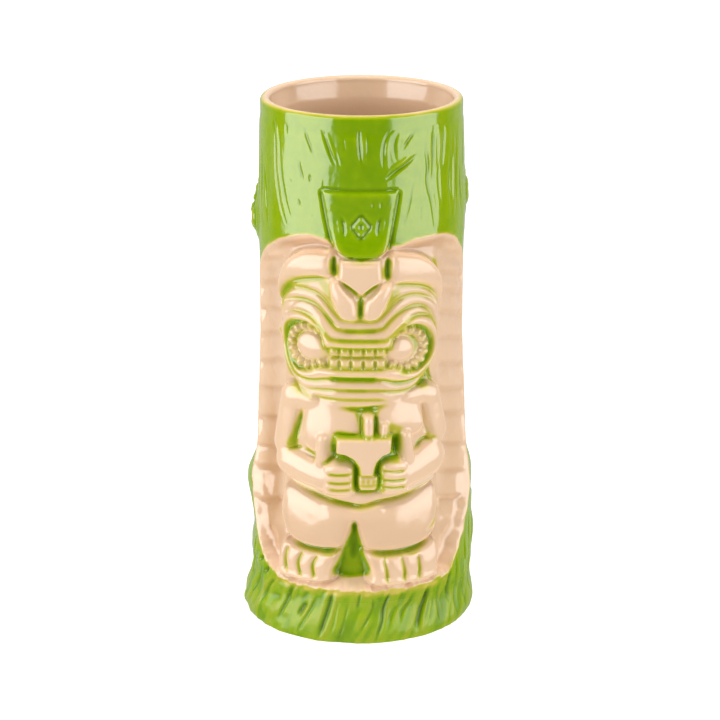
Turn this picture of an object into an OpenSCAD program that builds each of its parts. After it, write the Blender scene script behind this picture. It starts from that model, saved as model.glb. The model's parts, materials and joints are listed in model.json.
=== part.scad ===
// Tiki mug: a tall clay cup with a carved idol sitting in a niche of a tree stump.
// The plain inner cup is a turned cylinder. Bark, roots, the niche and the idol are
// clay pieces laid on its wall, edge to edge. +Z is up, the idol looks towards -Y,
// left is -X, and the origin is the middle of the base on the table.

/* [Cup] */
// Height from the table to the top of the lip
mug_h = 180; // [178:1:186]
// Inner radius of the cup
mouth_r = 28.8; // [28:0.1:29.2]
// Outer radius of the inner cup, where the clay pieces are laid on
seat_r = 31; // [30.6:0.1:31.2]
// Outer radius of the lip
lip_r = 33.4; // [33.2:0.1:34]
// How far the inside of the lip leans out, for an easy sip
lip_lean = 1.4; // [0.8:0.1:2]
// Height of that lean
lip_lean_h = 5.8; // [4:0.2:8]
// Height of the cup's floor above the table, inside
floor_z = 10; // [8:0.5:16]

/* [Foot] */
// Height of the bare foot ring
foot_h = 3; // [2.5:0.1:4]
// Inner radius of the foot ring
foot_in_r = 29; // [24:0.5:30]
// Outer radius of the foot ring
foot_out_r = 36; // [34:0.5:36.5]
// Height of the glaze line above the table
glaze_line = 0.8; // [0.5:0.1:1.5]

/* [Stump] */
// Radius of the stump at its narrowest, near the idol's chin
log_r = 34; // [33.6:0.1:34.4]
// Radius of the roots where they spread
flare_r = 39.5; // [39:0.1:40.5]
// Height of the roots
root_h = 19.6; // [18:0.2:19.8]
// Depth of the carved gouges in the bark
gouge_depth = 1.3; // [0.6:0.1:1.8]
// Gouges round the back of the stump
back_gouges = 13; // [7:1:17]
// Grooves round half of the roots
root_grooves = 11; // [7:1:15]

/* [Idol] */
// Gap between neighbouring clay pieces
seam = 0.3; // [0.2:0.05:0.5]
// How far out the mouth's lips stand, from the cup's axis
lips_r = 37.6; // [37:0.1:38.5]
// How far out the hands and the held cup stand
hands_r = 38.4; // [37.5:0.1:39]
// How far out the thighs and feet stand
legs_r = 38.8; // [38:0.1:39]
// Teeth in each row of the mouth
row_teeth = 5; // [3:1:7]
// Bead teeth round each cheek
bead_teeth = 12; // [8:1:14]

/* [Hidden] */
$fn = 96;

green = "#7da505";
olive = "#c8c060";
cream = "#f0cfaf";
bare_clay = "#d9b48c";

lip_round = (lip_r - mouth_r - lip_lean) / 2;
bark_top = mug_h - 4.8;
parting = 90;          // the two halves of the stump meet at the sides
niche_edge = 52;       // the niche's side bands begin this many degrees from the front
niche_top = 139.8;
past_top = mug_h + 20;
sweep_r = 34;          // outlines are given as arc length at this radius

// ---- outlines and cutting shapes ----

// Distance across the front for an arc length s round the cup
function across(s) = sweep_r * sin(s / sweep_r * 180 / PI);
// Angle round the cup, from the front, for an arc length s
function around(s) = s / sweep_r * 180 / PI;
// Points of an arc in the turning plane, centre (r, z)
function arc(r, z, radius, from, to, steps = 12) =
    [for (i = [0:steps]) let (a = from + (to - from) * i / steps)
        [r + radius * cos(a), z + radius * sin(a)]];
// One point of the smooth curve between points b and c
function curve_point(a, b, c, d, t) =
    0.5 * (2 * b + (c - a) * t + (2 * a - 5 * b + 4 * c - d) * t * t
        + (3 * b - a - 3 * c + d) * t * t * t);
// A closed smooth outline through a few points
function smooth(p, steps = 4) =
    [for (i = [0:len(p) - 1]) for (k = [0:steps - 1])
        let (n = len(p))
        curve_point(p[(i + n - 1) % n], p[i], p[(i + 1) % n], p[(i + 2) % n], k / steps)];

// An outline in (arc length, height), cut straight back through the front wall
module front_prism(points) {
    rotate([90, 0, 0])
        linear_extrude(60)
            polygon([for (p = points) [across(p[0]), p[1]]]);
}

// Everything outside the cup's wall up to radius r
module wall(r) {
    difference() {
        translate([0, 0, 1]) cylinder(r = r, h = past_top);
        cylinder(r = seat_r, h = past_top + 2);
    }
}

// A flat-faced clay piece of the given outline, standing out to radius r
module sprig(points, r) {
    intersection() {
        front_prism(points);
        wall(r);
    }
}

// A domed clay piece: its face is part of a sphere that reaches r at arc length s, height z
module domed(points, s, z, r, ball) {
    intersection() {
        front_prism(points);
        rotate([0, 0, around(s)])
            translate([0, ball - r, z])
                sphere(r = ball);
        wall(r + 5);
    }
}

// A round groove that runs level round the piece at radius r, height z
module level_groove(r, z, groove_r) {
    translate([0, 0, z])
        rotate_extrude()
            translate([r, 0])
                circle(r = groove_r, $fn = 24);
}

// A rod with round ends, standing on the line from the lower to the upper end
module gouge(angle, z, length, lean, r, rod_r) {
    rotate([0, 0, angle])
        translate([0, -r, z])
            rotate([0, lean, 0]) {
                cylinder(r = rod_r, h = length, center = true, $fn = 24);
                for (end = [-1, 1])
                    translate([0, 0, end * length / 2])
                        sphere(r = rod_r, $fn = 24);
            }
}

// A clay button on the cup's wall with a round top
module button(s, z, r, button_r) {
    difference() {
        rotate([0, 0, around(s)])
            translate([0, button_r - r, z]) {
                sphere(r = button_r);
                rotate([-90, 0, 0])
                    cylinder(r = button_r, h = r - button_r - seat_r + 2);
            }
        cylinder(r = seat_r, h = past_top);
    }
}

// ---- cup and foot ----

module cup_body() {
    corner = 5;
    color(cream)
        rotate_extrude($fn = 180)
            polygon(concat(
                [[0, foot_h], [seat_r, foot_h], [seat_r, bark_top]],
                [[lip_r, bark_top]],
                arc(lip_r - lip_round, mug_h - lip_round, lip_round, 0, 180, 24),
                [[mouth_r, mug_h - lip_round - lip_lean_h]],
                arc(mouth_r - corner, floor_z + corner, corner, 0, -90),
                [[0, floor_z]]));
}

module foot_ring() {
    bevel = 0.6;
    color(bare_clay)
        rotate_extrude($fn = 180)
            polygon([[foot_in_r, foot_h], [foot_in_r, bevel], [foot_in_r + bevel, 0],
                [foot_out_r - bevel, 0], [foot_out_r, bevel], [foot_out_r, foot_h]]);
}

// ---- stump ----

// Outer radius of the stump, from the roots to the lip
stump_line = [[flare_r - 1.4, glaze_line], [flare_r - 0.4, 2.4], [flare_r, 5],
    [flare_r - 0.4, 9], [flare_r - 1.4, 14], [flare_r - 1.5, root_h],
    [log_r + 3.8, 30], [log_r + 3.6, 44], [log_r + 2.9, 53], [log_r + 1.6, 61],
    [log_r + 0.9, 76], [log_r, 96], [log_r, 118], [log_r + 0.7, 132],
    [log_r + 1.5, 141], [log_r + 1, 149], [log_r, 157], [log_r - 0.1, 168],
    [lip_r, bark_top]];

// The stump's clay between two angles from the front and two heights
module stump_sector(from, to, low, high) {
    intersection() {
        rotate([0, 0, from - 90])
            rotate_extrude(angle = to - from, $fn = 180)
                polygon(concat([[seat_r, glaze_line]], stump_line, [[seat_r, bark_top]]));
        translate([0, 0, low]) cylinder(r = 60, h = high - low);
    }
}

knot_size = 7;
knot_z = [138, 148];

// The round hole in the bark that a knot sits in, side -1 is left
module knot_core(side, r) {
    rotate([0, 0, side * parting])
        translate([0, 0, knot_z[side > 0 ? 1 : 0]])
            rotate([90, 0, 0])
                cylinder(r = r, h = 60);
}

module knot(side) {
    knot_ball = 13;
    intersection() {
        knot_core(side, knot_size);
        rotate([0, 0, side * parting])
            translate([0, knot_ball - log_r - 3.2, knot_z[side > 0 ? 1 : 0]])
                sphere(r = knot_ball);
        wall(flare_r);
    }
}

plaque_line = [[-13.5, 155.5], [13, 155.5], [11, 146], [9, 138.5], [7.4, 135.8], [3, 134],
    [-3, 134], [-7.4, 135.8], [-9, 138.5], [-11.3, 146]];
// The same outline, one seam larger
plaque_hole = [for (p = plaque_line) [p[0] * 1.03, 145 + (p[1] - 145) * 1.04]];

// Gouges above the niche: arc length, height, length and lean
front_strokes = [[-33, 162, 24, 6], [-28, 152, 14, 12], [-20, 169, 12, 24],
    [-17.5, 161, 5, 0], [-11.5, 168, 11, 20], [0, 169, 12, -2], [9, 168, 14, -14],
    [16, 170, 8, -28], [14, 163, 9, -40], [17.5, 149, 14, -14], [24, 163, 22, -4],
    [31, 165, 14, 0], [38, 155, 16, 0], [-40, 155, 14, 6]];

module bark_front() {
    color(green)
        difference() {
            stump_sector(-parting, parting, niche_top + seam, bark_top);
            front_prism(plaque_hole);
            for (side = [-1, 1])
                knot_core(side, knot_size + seam);
            for (g = front_strokes)
                gouge(around(g[0]), g[1], g[2], g[3], log_r + 1.3, gouge_depth + 0.6);
        }
}

module bark_back() {
    color(green)
        difference() {
            stump_sector(parting, 360 - parting, root_h + seam, bark_top);
            for (side = [-1, 1])
                knot_core(side, knot_size + seam);
            for (i = [1:back_gouges], row = [0:2])
                let (turn = i - 0.35 * row)
                gouge(parting + turn * (360 - 2 * parting) / (back_gouges + 1),
                    [48, 98, 150][row] + 7 * sin(i * 100), 26 + 6 * sin(i * 150),
                    5 * sin(i * 70), log_r + [4.1, 1.4, 1.6][row], gouge_depth + 0.5);
        }
}

// The roots from one angle to another, without the ledge and the foot ring's seat
module roots(from, to) {
    difference() {
        stump_sector(from, to, 0, root_h);
        cylinder(r = foot_out_r + seam, h = foot_h + seam);
        for (i = [1:root_grooves])
            gouge(from + i * (to - from) / (root_grooves + 1), 9, 16 + 5 * sin(i * 130),
                16 * sin(i * 85), flare_r + 0.5, gouge_depth + 0.6);
    }
}

module root_front() { color(green) roots(-parting, parting); }
module root_back() { color(green) roots(parting, 360 - parting); }
module knot_left() { color(green) knot(-1); }
module knot_right() { color(green) knot(1); }

// ---- niche ----

side_low = 24;
side_high = 134.6;
facet_h = 7.9;         // height of one chisel facet
facet_depth = 1.5;

// The side band's face: hollow chisel facets one above the other
facet_count = round((side_high - side_low) / facet_h);
function band_r(z) = log_r + 1.6 + 1.8 * pow(abs(z - 92) / 70, 2);
facet_line = [for (i = [0:facet_count - 1], k = [0:5])
    let (z = side_low + (i + k / 6) * (side_high - side_low) / facet_count)
    [band_r(z) - facet_depth * sin(30 * k), z]];

module niche_side(side) {
    from = side < 0 ? -parting : niche_edge;
    difference() {
        rotate([0, 0, from - 90])
            rotate_extrude(angle = parting - niche_edge, $fn = 180)
                polygon(concat([[seat_r, side_low]], facet_line,
                    [[band_r(side_high), side_high], [seat_r, side_high]]));
        knot_core(side, knot_size + seam);
    }
}

arch_left_line = [[-9.6, 136.6], [-9.4, 138.6], [-13, 139.4], [-19, 139.6], [-25, 138.8],
    [-31, 137.4], [-37, 136.6], [-37, 135], [-31, 134.9], [-26, 135.4], [-20, 137],
    [-15, 136.8]];
arch_right_line = [[9.6, 136.4], [9.4, 138.4], [15, 139.3], [21, 139.4], [26, 138.8],
    [31, 137.4], [37, 136.6], [37, 135], [31, 134.9], [26, 135.2], [20, 136], [15, 136.4]];

module niche_arch_left() { color(cream) sprig(smooth(arch_left_line, 2), log_r + 2.4); }
module niche_arch_right() { color(cream) sprig(smooth(arch_right_line, 2), log_r + 2.4); }
module niche_side_left() { color(cream) niche_side(-1); }
module niche_side_right() { color(cream) niche_side(1); }

module niche_ledge() {
    ledge_round = 1.7;
    ledge_low = root_h + seam;
    ledge_high = side_low - seam;
    ledge_mid = (ledge_low + ledge_high) / 2;
    color(cream)
        rotate([0, 0, -parting - 90])
            rotate_extrude(angle = 2 * parting, $fn = 180)
                polygon(concat([[seat_r, ledge_low]],
                    arc(log_r + 2.4, ledge_mid, ledge_round, -90, 90),
                    [[seat_r, ledge_high]]));
}

// ---- face ----

module forehead_plaque() {
    // A lozenge with a short bar each side is cut into the plaque
    color(green)
        difference() {
            sprig(plaque_line, log_r + 2.2);
            rotate([90, 0, 0])
                translate([0, 145.5, log_r + 1.2])
                    difference() {
                        cylinder(r = 4.6, h = 10, $fn = 4);
                        cylinder(r = 3, h = 10, $fn = 4);
                    }
            for (side = [-1, 1])
                gouge(side * 13, 147, 5, side * 12, log_r + 2.2, 0.9);
        }
}

brow_left_line = [[-9.4, 134.8], [-15, 135.3], [-20, 134.2], [-25, 131.4], [-28.3, 127.6],
    [-30.6, 123], [-31, 117.4], [-30.4, 117.6], [-28.2, 121.6], [-25, 124.9], [-20, 126.6],
    [-15, 127.4], [-9.9, 127.8]];
brow_right_line = [[9.4, 134.3], [15, 134.2], [20, 132.8], [24, 130.3], [27.2, 127],
    [29.2, 123], [30, 117.4], [29, 117.4], [26.3, 119.9], [23, 122.2], [20, 123.9],
    [15, 125.2], [9.9, 125.7]];

module brow_left() { color(cream) domed(smooth(brow_left_line, 2), -20, 128, 37, 26); }
module brow_right() { color(cream) domed(smooth(brow_right_line, 2), 19, 127, 37, 26); }

module nose_bridge() {
    color(cream)
        sprig([[-6.3, 133], [5.4, 133], [5.8, 127.2], [0, 122.6], [-6.5, 127.2]], 36.6);
}

module nostril_left() {
    color(cream)
        domed([[-9.6, 126.4], [-7, 126.2], [-3.4, 122.3], [-0.9, 120.4], [-0.9, 113.6],
            [-5.9, 113.6], [-7.4, 118]], -4, 118, 38.2, 14);
}

module nostril_right() {
    color(cream)
        domed([[9.3, 125.4], [6.7, 125.6], [2.9, 122.1], [0.3, 120.4], [0.3, 113.6],
            [4.9, 113.6], [6.8, 118]], 3, 118, 38.2, 14);
}

muzzle_grooves = [109.7, 118.6, 122.4];

module muzzle(points) {
    difference() {
        sprig(points, 36.4);
        for (z = muzzle_grooves)
            level_groove(36.9, z, 1);
    }
}

module muzzle_left() {
    color(cream)
        muzzle([[-0.6, 113.1], [-6.2, 113.1], [-7.9, 118], [-10.2, 126], [-10.6, 127.2],
            [-15, 126.9], [-20, 126], [-24.6, 124.3], [-27.8, 121.2], [-29.8, 117.4],
            [-29.9, 108], [-28.6, 108], [-26.1, 112.2], [-19.5, 114.6], [-13.3, 112.4],
            [-10.3, 108.8], [-8, 107.1], [-0.6, 107.1]]);
}

module muzzle_right() {
    color(cream)
        muzzle([[0.2, 113.1], [5.2, 113.1], [7.2, 118], [9.8, 125], [15, 124.7],
            [20, 123.3], [23, 121.7], [26, 119.4], [28.4, 117], [28.8, 108], [27.2, 108],
            [24.5, 112.1], [18, 114.3], [12.2, 111.2], [8.2, 107.9], [6.8, 107.1],
            [0.2, 107.1]]);
}

lips_line = [[-8, 106.6], [-10.6, 108.3], [-13.6, 111.9], [-19.5, 114.1], [-25.9, 111.7],
    [-28.9, 106], [-28.9, 99.5], [-26, 95], [-20, 92.3], [-15, 92.3], [-11, 93.2],
    [6, 93.2], [10, 92.1], [15, 92], [20, 94], [23.3, 97], [26, 101.5], [26.6, 106],
    [24.2, 111.5], [18, 113.7], [12.5, 110.8], [8.4, 107.4], [7, 106.6]];
// Mouth opening: two round cheeks joined by a bar
cheek_left = [-19.6, 103];
cheek_right = [17, 102.7];
bar_low = 96.2;
bar_high = 104;

// A straight hole of radius r towards the cup's axis, at a point of the front
module round_hole(p, r) {
    rotate([0, 0, around(p[0])])
        translate([0, 0, p[1]])
            rotate([90, 0, 0])
                cylinder(r = r, h = 60);
}

module mouth_hole(grow) {
    round_hole(cheek_left, 8 + grow);
    round_hole(cheek_right, 7.6 + grow);
    front_prism([[cheek_left[0], bar_low - grow], [cheek_right[0], bar_low - grow],
        [cheek_right[0], bar_high + grow], [cheek_left[0], bar_high + grow]]);
}

module mouth_lips() {
    color(cream)
        difference() {
            domed(smooth(lips_line, 2), -1, 103, lips_r, 44);
            mouth_hole(0);
        }
}

// A row of flat teeth between two heights
teeth_from = -9.9;
teeth_to = 8.1;
module tooth_row(low, high) {
    pitch = (teeth_to - teeth_from) / row_teeth;
    for (i = [0:row_teeth - 1])
        let (a = teeth_from + i * pitch + seam, b = a + pitch - 2 * seam)
        domed([[a, low], [b, low], [b, high], [a, high]], (a + b) / 2, (low + high) / 2,
            36.2, 6);
}

module teeth_upper() { color(cream) tooth_row(100.7, 103.6); }
module teeth_lower() { color(cream) tooth_row(96.7, 100.2); }

// Small round teeth round the outer side of a cheek, side -1 is left
bead_r = 0.95;
bead_sweep = 236;
module bead_row(centre, r, side) {
    for (i = [0:bead_teeth - 1])
        let (a = bead_sweep * (i / (bead_teeth - 1) - 0.5))
        button(centre[0] + side * r * cos(a), centre[1] + r * sin(a), 35.2, bead_r);
}

module cheek_teeth_left() { color(olive) bead_row(cheek_left, 6.6, -1); }
module cheek_teeth_right() { color(olive) bead_row(cheek_right, 6.3, 1); }
module cheek_boss_left() { color(cream) button(-18.2, 103, 37.6, 4.1); }
module cheek_boss_right() { color(cream) button(15.2, 102.6, 37.6, 3.9); }

module chin() {
    color(cream)
        difference() {
            domed([[-28.2, 97], [-25.4, 93.7], [-20, 91.4], [-15, 91.4], [-11, 92.4],
                [6, 92.4], [10, 91.3], [15, 91.1], [20.4, 93.3], [24.4, 97.4], [26, 97.4],
                [25.6, 94.5], [23, 91], [18, 88.3], [13, 85.6], [8, 84.3], [0, 83.3],
                [-8, 83.8], [-15, 84.9], [-18, 86.4], [-22, 89.2], [-27, 93]],
                -1, 90, 37.2, 44);
            for (z = [85.9, 89])
                level_groove(37.6, z, 0.9);
        }
}

// ---- body ----

module chest_left() {
    color(cream)
        domed([[-19.6, 84.6], [-15, 84.3], [-8, 83.2], [-0.6, 82.8], [-0.6, 73.7],
            [-10.6, 74.2], [-14.8, 74.4], [-15.2, 66.8], [-19.6, 68.2]], -8, 78, 35.6, 24);
}

module chest_right() {
    color(cream)
        domed([[0.2, 82.8], [8, 83.8], [13, 85.1], [18, 87.6], [20.4, 88], [20.5, 82.5],
            [21.9, 76.3], [20, 75], [17, 74.8], [9.5, 74.8], [9.5, 73.7], [0.2, 73.7]],
            9, 79, 35.6, 24);
}

module upper_arm_left() {
    color(cream)
        domed([[-20.2, 84.8], [-21, 88], [-26, 87], [-30.3, 79], [-31, 70], [-30.9, 62.3],
            [-28.4, 66.6], [-24.4, 73.5], [-20.6, 80.6]], -26, 76, 36.6, 15);
}

module upper_arm_right() {
    color(cream)
        domed([[21, 88], [25.5, 86.5], [29.8, 79], [30.6, 72], [30.6, 69.6], [27, 69.9],
            [25, 71.7], [22.6, 76.6], [21.2, 82.6]], 26, 79, 36.6, 13);
}

module forearm_left() {
    color(cream)
        domed([[-30.6, 60.9], [-27.6, 65.6], [-20, 66.2], [-15.2, 63], [-11.4, 61.8],
            [-11.4, 54], [-15, 54.3], [-24, 55.3], [-28.5, 57.9]], -20, 60, 37.8, 16);
}

module forearm_right() {
    color(cream)
        domed([[14.7, 54.7], [14.7, 62.5], [17.1, 64.3], [18.2, 66.1], [22, 68.9],
            [27, 69.3], [30.6, 69.2], [30.8, 61.4], [25, 56.6], [18, 54.9]],
            22, 61, 37.8, 16);
}

module hand(points, s, grooves) {
    difference() {
        domed(points, s, 62, hands_r, 30);
        for (z = grooves)
            intersection() {
                level_groove(hands_r, z, 0.8);
                translate([0, 0, 50]) cylinder(r = 60, h = 12.4);
            }
    }
}

module hand_left() {
    color(cream)
        hand([[-11, 54], [-11, 62.2], [-14.5, 63.8], [-14.5, 73.6], [-11.2, 73.6],
            [-10.5, 64], [-3, 63.2], [-2.9, 54.2]], -9, [57.2, 60.2]);
}

module hand_right() {
    color(cream)
        hand([[6, 54.5], [6, 63.5], [12.6, 64.3], [13, 74.4], [16.5, 74.4], [16.6, 64.6],
            [14.3, 62.9], [14.3, 54.5]], 11, [57.8, 61]);
}

module held_cup() {
    socket_r = 2.6;
    color(cream)
        difference() {
            sprig([[-7.4, 73.2], [-7.4, 67.9], [-5, 67.4], [-1.8, 65], [-0.4, 62.4],
                [-0.3, 60.5], [3.5, 60.5], [3.6, 62.5], [4.2, 64.2], [5.8, 66.4],
                [8.8, 67.9], [9, 73.2]], hands_r);
            for (s = [-4.6, 7])
                rotate([90, 0, 0])
                    translate([across(s), 66.4, hands_r - 1.4])
                        cylinder(r = socket_r, h = 10);
        }
}

module held_cup_teeth() {
    color(cream)
        difference() {
            sprig([[-0.9, 60.1], [-1.2, 57], [-0.6, 54.9], [4.6, 54.9], [5, 57],
                [4.8, 60.1]], hands_r - 0.4);
            for (s = [0.5, 2, 3.5])
                gouge(around(s), 58.6, 2.4, 0, hands_r - 0.2, 0.45);
        }
}

module straws() {
    // A tall straight straw and a short leaning one stand in the held cup
    straw_seat = 73.5;
    color(cream) {
        translate([across(2.2), -37.2, straw_seat])
            cylinder(r = 1.5, h = 7);
        translate([across(7), -36.4, straw_seat])
            rotate([0, 4, 0])
                cylinder(r = 1.05, h = 4.6);
    }
}

module belly() {
    color(cream)
        sprig([[-24, 54.7], [-15, 53.9], [-11, 53.6], [-2.9, 53.8], [-0.5, 54.5],
            [4.8, 54.5], [6.2, 54.1], [14.5, 54.1], [18, 54.5], [24.5, 55.9], [24.2, 55.1],
            [15, 52.4], [5, 50.7], [0, 49.2], [-5, 50.3], [-10, 51.1], [-15, 52.5]],
            36.4);
}

module thigh_left() {
    color(cream)
        domed([[-28.3, 53], [-24, 54], [-15, 51.9], [-10, 50.5], [-5, 49.7], [-2.6, 48.8],
            [-2.8, 44], [-5.2, 36], [-6.5, 33.9], [-15, 33.3], [-25, 34.9], [-29, 40]],
            -15, 43, legs_r, 21);
}

module thigh_right() {
    color(cream)
        domed([[-1.7, 48.6], [0, 48.5], [5, 50.1], [15, 51.8], [24, 54.5], [27, 52],
            [27.5, 42], [25, 36.2], [20, 33.7], [10, 32.9], [0.8, 34], [-0.4, 36.4],
            [-1.7, 43]], 12, 43, legs_r, 21);
}

module foot(points, s, grooves) {
    difference() {
        domed(points, s, 27, legs_r + 0.2, 22);
        for (g = grooves)
            gouge(around(g), 26.5, 8, 0, legs_r, 0.9);
    }
}

module foot_left() {
    color(cream)
        foot([[-25, 34], [-15, 32.6], [-8.2, 33], [-9.2, 28], [-10.4, 24.2], [-20, 24.2],
            [-28, 24.6], [-27.5, 29]], -17, [-24, -19, -14]);
}

module foot_right() {
    color(cream)
        foot([[1.4, 33.2], [10, 32.2], [20, 32.9], [24.5, 35.2], [24, 29], [23, 24.2],
            [3, 24.2], [1.8, 28]], 12, [7.3, 12.7, 17.8]);
}

cup_body();
foot_ring();
bark_front();
bark_back();
root_front();
root_back();
knot_left();
knot_right();
niche_arch_left();
niche_arch_right();
niche_side_left();
niche_side_right();
niche_ledge();
forehead_plaque();
brow_left();
brow_right();
nose_bridge();
nostril_left();
nostril_right();
muzzle_left();
muzzle_right();
mouth_lips();
teeth_upper();
teeth_lower();
cheek_teeth_left();
cheek_teeth_right();
cheek_boss_left();
cheek_boss_right();
chin();
chest_left();
chest_right();
upper_arm_left();
upper_arm_right();
forearm_left();
forearm_right();
hand_left();
hand_right();
held_cup();
held_cup_teeth();
straws();
belly();
thigh_left();
thigh_right();
foot_left();
foot_right();
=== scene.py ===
"""Looks of the tiki mug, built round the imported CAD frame.

The relief is two sheets of radii over arc length and height, a fine one in front and a
coarser one behind. They are carved with a few brushes, as a carver works in clay, and then
cut into one closed piece for each CAD node, so neighbouring pieces meet edge to edge.

Lengths in the carving are millimetres: an arc length s is measured at radius SWEEP from the
idol's middle, + to the viewer's right, and a height z from the table. The camera, lights
and floor are in metres.
"""
import json
import math

import bpy
import numpy as np
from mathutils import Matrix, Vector


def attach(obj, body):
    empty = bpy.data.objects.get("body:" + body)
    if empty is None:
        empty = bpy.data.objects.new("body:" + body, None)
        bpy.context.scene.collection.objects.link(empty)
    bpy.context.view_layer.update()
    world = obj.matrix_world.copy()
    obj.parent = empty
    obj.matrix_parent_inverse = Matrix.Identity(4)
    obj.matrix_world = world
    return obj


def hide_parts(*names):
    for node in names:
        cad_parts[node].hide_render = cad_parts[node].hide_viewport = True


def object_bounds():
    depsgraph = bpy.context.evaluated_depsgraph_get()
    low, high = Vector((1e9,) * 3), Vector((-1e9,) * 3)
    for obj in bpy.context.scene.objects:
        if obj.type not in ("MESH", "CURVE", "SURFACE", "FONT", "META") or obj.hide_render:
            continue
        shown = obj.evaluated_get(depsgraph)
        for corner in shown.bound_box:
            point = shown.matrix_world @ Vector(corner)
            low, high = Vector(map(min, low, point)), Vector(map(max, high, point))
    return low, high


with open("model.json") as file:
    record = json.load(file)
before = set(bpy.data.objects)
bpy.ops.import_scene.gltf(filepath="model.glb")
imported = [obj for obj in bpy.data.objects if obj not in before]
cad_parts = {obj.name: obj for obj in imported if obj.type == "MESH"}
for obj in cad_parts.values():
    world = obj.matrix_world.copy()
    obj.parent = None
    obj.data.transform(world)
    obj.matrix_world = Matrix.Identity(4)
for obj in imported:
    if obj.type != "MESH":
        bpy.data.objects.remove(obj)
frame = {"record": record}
CAD_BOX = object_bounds()
MM = 0.001

# Sizes in millimetres
MUG_H = round(CAD_BOX[1][2] / MM, 2)
MOUTH_R, LIP_R = 28.8, 33.4
LIP_LEAN, LIP_LEAN_H = 1.4, 5.8            # how far and how high the lip leans out inside
LIP_ROUND = (LIP_R - MOUTH_R - LIP_LEAN) / 2
BED = 31.0                                 # outer radius of the plain cup under the relief
FLOOR_Z, CORNER = 10.0, 5.0                # the cup's floor, and the rounding at its edge
FOOT_H, FOOT_IN, FOOT_OUT, FOOT_BEVEL = 3.0, 29.0, 36.0, 0.6
FOOT_SEAT, FOOT_CLEAR = 36.2, 3.2          # the relief stands off the foot up to this height
LOW, HIGH = 0.8, 175.2                     # the relief's lower and upper edge
NICHE_BED = 32.2                           # radius of the niche's floor behind the idol
ROOT_TOP = 19.6
SWEEP = 34.0                               # radius at which arc lengths are measured
QUARTER = SWEEP * math.pi / 2              # from the front to a side
ROUND = 4 * QUARTER                        # once round the mug

# ---------------------------------------------------------------- camera, lights, floor

CAMERA_AT = (0.0, -0.8273, 0.3562)
CAMERA_PITCH = 0.3131         # radians below the level
CAMERA_LENS = 128.1           # mm
CAMERA_SENSOR = 36.0          # mm
CAMERA_SHIFT = -0.0023
CAMERA_NEAR = 0.05
BACKDROP = 0.55               # brightness of the backdrop in reflections
ROOM = 0.004                  # and of the dark room behind the camera
SOFTBOX_AZIMUTH = 63          # degrees to each side of the camera
SOFTBOX_AWAY = 1.1
SOFTBOX_HEIGHT = 0.41
SOFTBOX_SIZE = (1.27, 1.38)
SOFTBOX_WATTS = 12.8
RIGHT_SHARE = 0.8             # the right softbox is a little weaker
OVERHEAD_WATTS = 19.0
FLOOR_RADIUS, FLOOR_RINGS, FLOOR_SPOKES = 1.4, 24, 96
WHITE = (1, 1, 1, 1)


def fill_inputs(node, inputs):
    """Gives each named input a constant, or the output socket that feeds it."""
    for name, value in inputs.items():
        if isinstance(value, bpy.types.NodeSocket):
            node.id_data.links.new(value, node.inputs[name])
        else:
            node.inputs[name].default_value = value


def add_node(tree, kind, inputs):
    """A shader node with some of its inputs filled in."""
    node = tree.nodes.new("ShaderNode" + kind)
    fill_inputs(node, inputs)
    return node


def position(tree, kind):
    """The coordinates of the point being shaded, in one of Blender's kinds."""
    return add_node(tree, "TexCoord", {}).outputs[kind]


def arithmetic(tree, operation, *values):
    """The result of one operation on numbers or sockets."""
    node = add_node(tree, "Math", dict(enumerate(values)))
    node.operation = operation
    return node.outputs[0]


def map_range(tree, value, from_min, from_max, to_min, to_max):
    """The value taken from one range to another, and held at its ends."""
    node = add_node(tree, "MapRange", {
        "Value": value, "From Min": from_min, "From Max": from_max, "To Min": to_min,
        "To Max": to_max})
    return node.outputs["Result"]


def new_material(name):
    """A material, its node tree and its shader."""
    material = bpy.data.materials.new(name)
    material.use_nodes = True
    return material, material.node_tree, material.node_tree.nodes["Principled BSDF"]


def link_to_scene(thing):
    """Puts an object in the scene."""
    bpy.context.scene.collection.objects.link(thing)


def make_camera():
    """The camera, in front and a little above."""
    data = bpy.data.cameras.new("camera")
    data.lens = CAMERA_LENS
    data.sensor_width = CAMERA_SENSOR
    data.shift_x = CAMERA_SHIFT
    data.clip_start = CAMERA_NEAR
    camera = bpy.data.objects.new("camera", data)
    camera.location = CAMERA_AT
    camera.rotation_euler = (math.pi / 2 - CAMERA_PITCH, 0, 0)
    link_to_scene(camera)
    bpy.context.scene.camera = camera


def softbox(name, azimuth, distance, height, size, power, aim_z):
    """A rectangular studio light at an azimuth from the idol's front, in degrees."""
    data = bpy.data.lights.new(name, "AREA")
    data.shape = "RECTANGLE"
    data.size, data.size_y = size
    data.energy = power
    light = bpy.data.objects.new(name, data)
    a = math.radians(azimuth)
    light.location = (distance * math.sin(a), -distance * math.cos(a), height)
    aim = Vector((0, 0, aim_z)) - light.location
    light.rotation_euler = aim.to_track_quat("-Z", "Y").to_euler()
    link_to_scene(light)
    return light


def make_lights():
    """A softbox at each side, and a soft light overhead."""
    for name, azimuth, power in (
            ("softbox_left", -SOFTBOX_AZIMUTH, SOFTBOX_WATTS),
            ("softbox_right", SOFTBOX_AZIMUTH, SOFTBOX_WATTS * RIGHT_SHARE)):
        softbox(name, azimuth, SOFTBOX_AWAY, SOFTBOX_HEIGHT, SOFTBOX_SIZE, power,
                SOFTBOX_HEIGHT)
    overhead = softbox("overhead", 0, 0.1, 1.4, (0.7, 0.7), OVERHEAD_WATTS, 0.1)
    overhead.visible_glossy = False     # it brightens the clay without a glint


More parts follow.
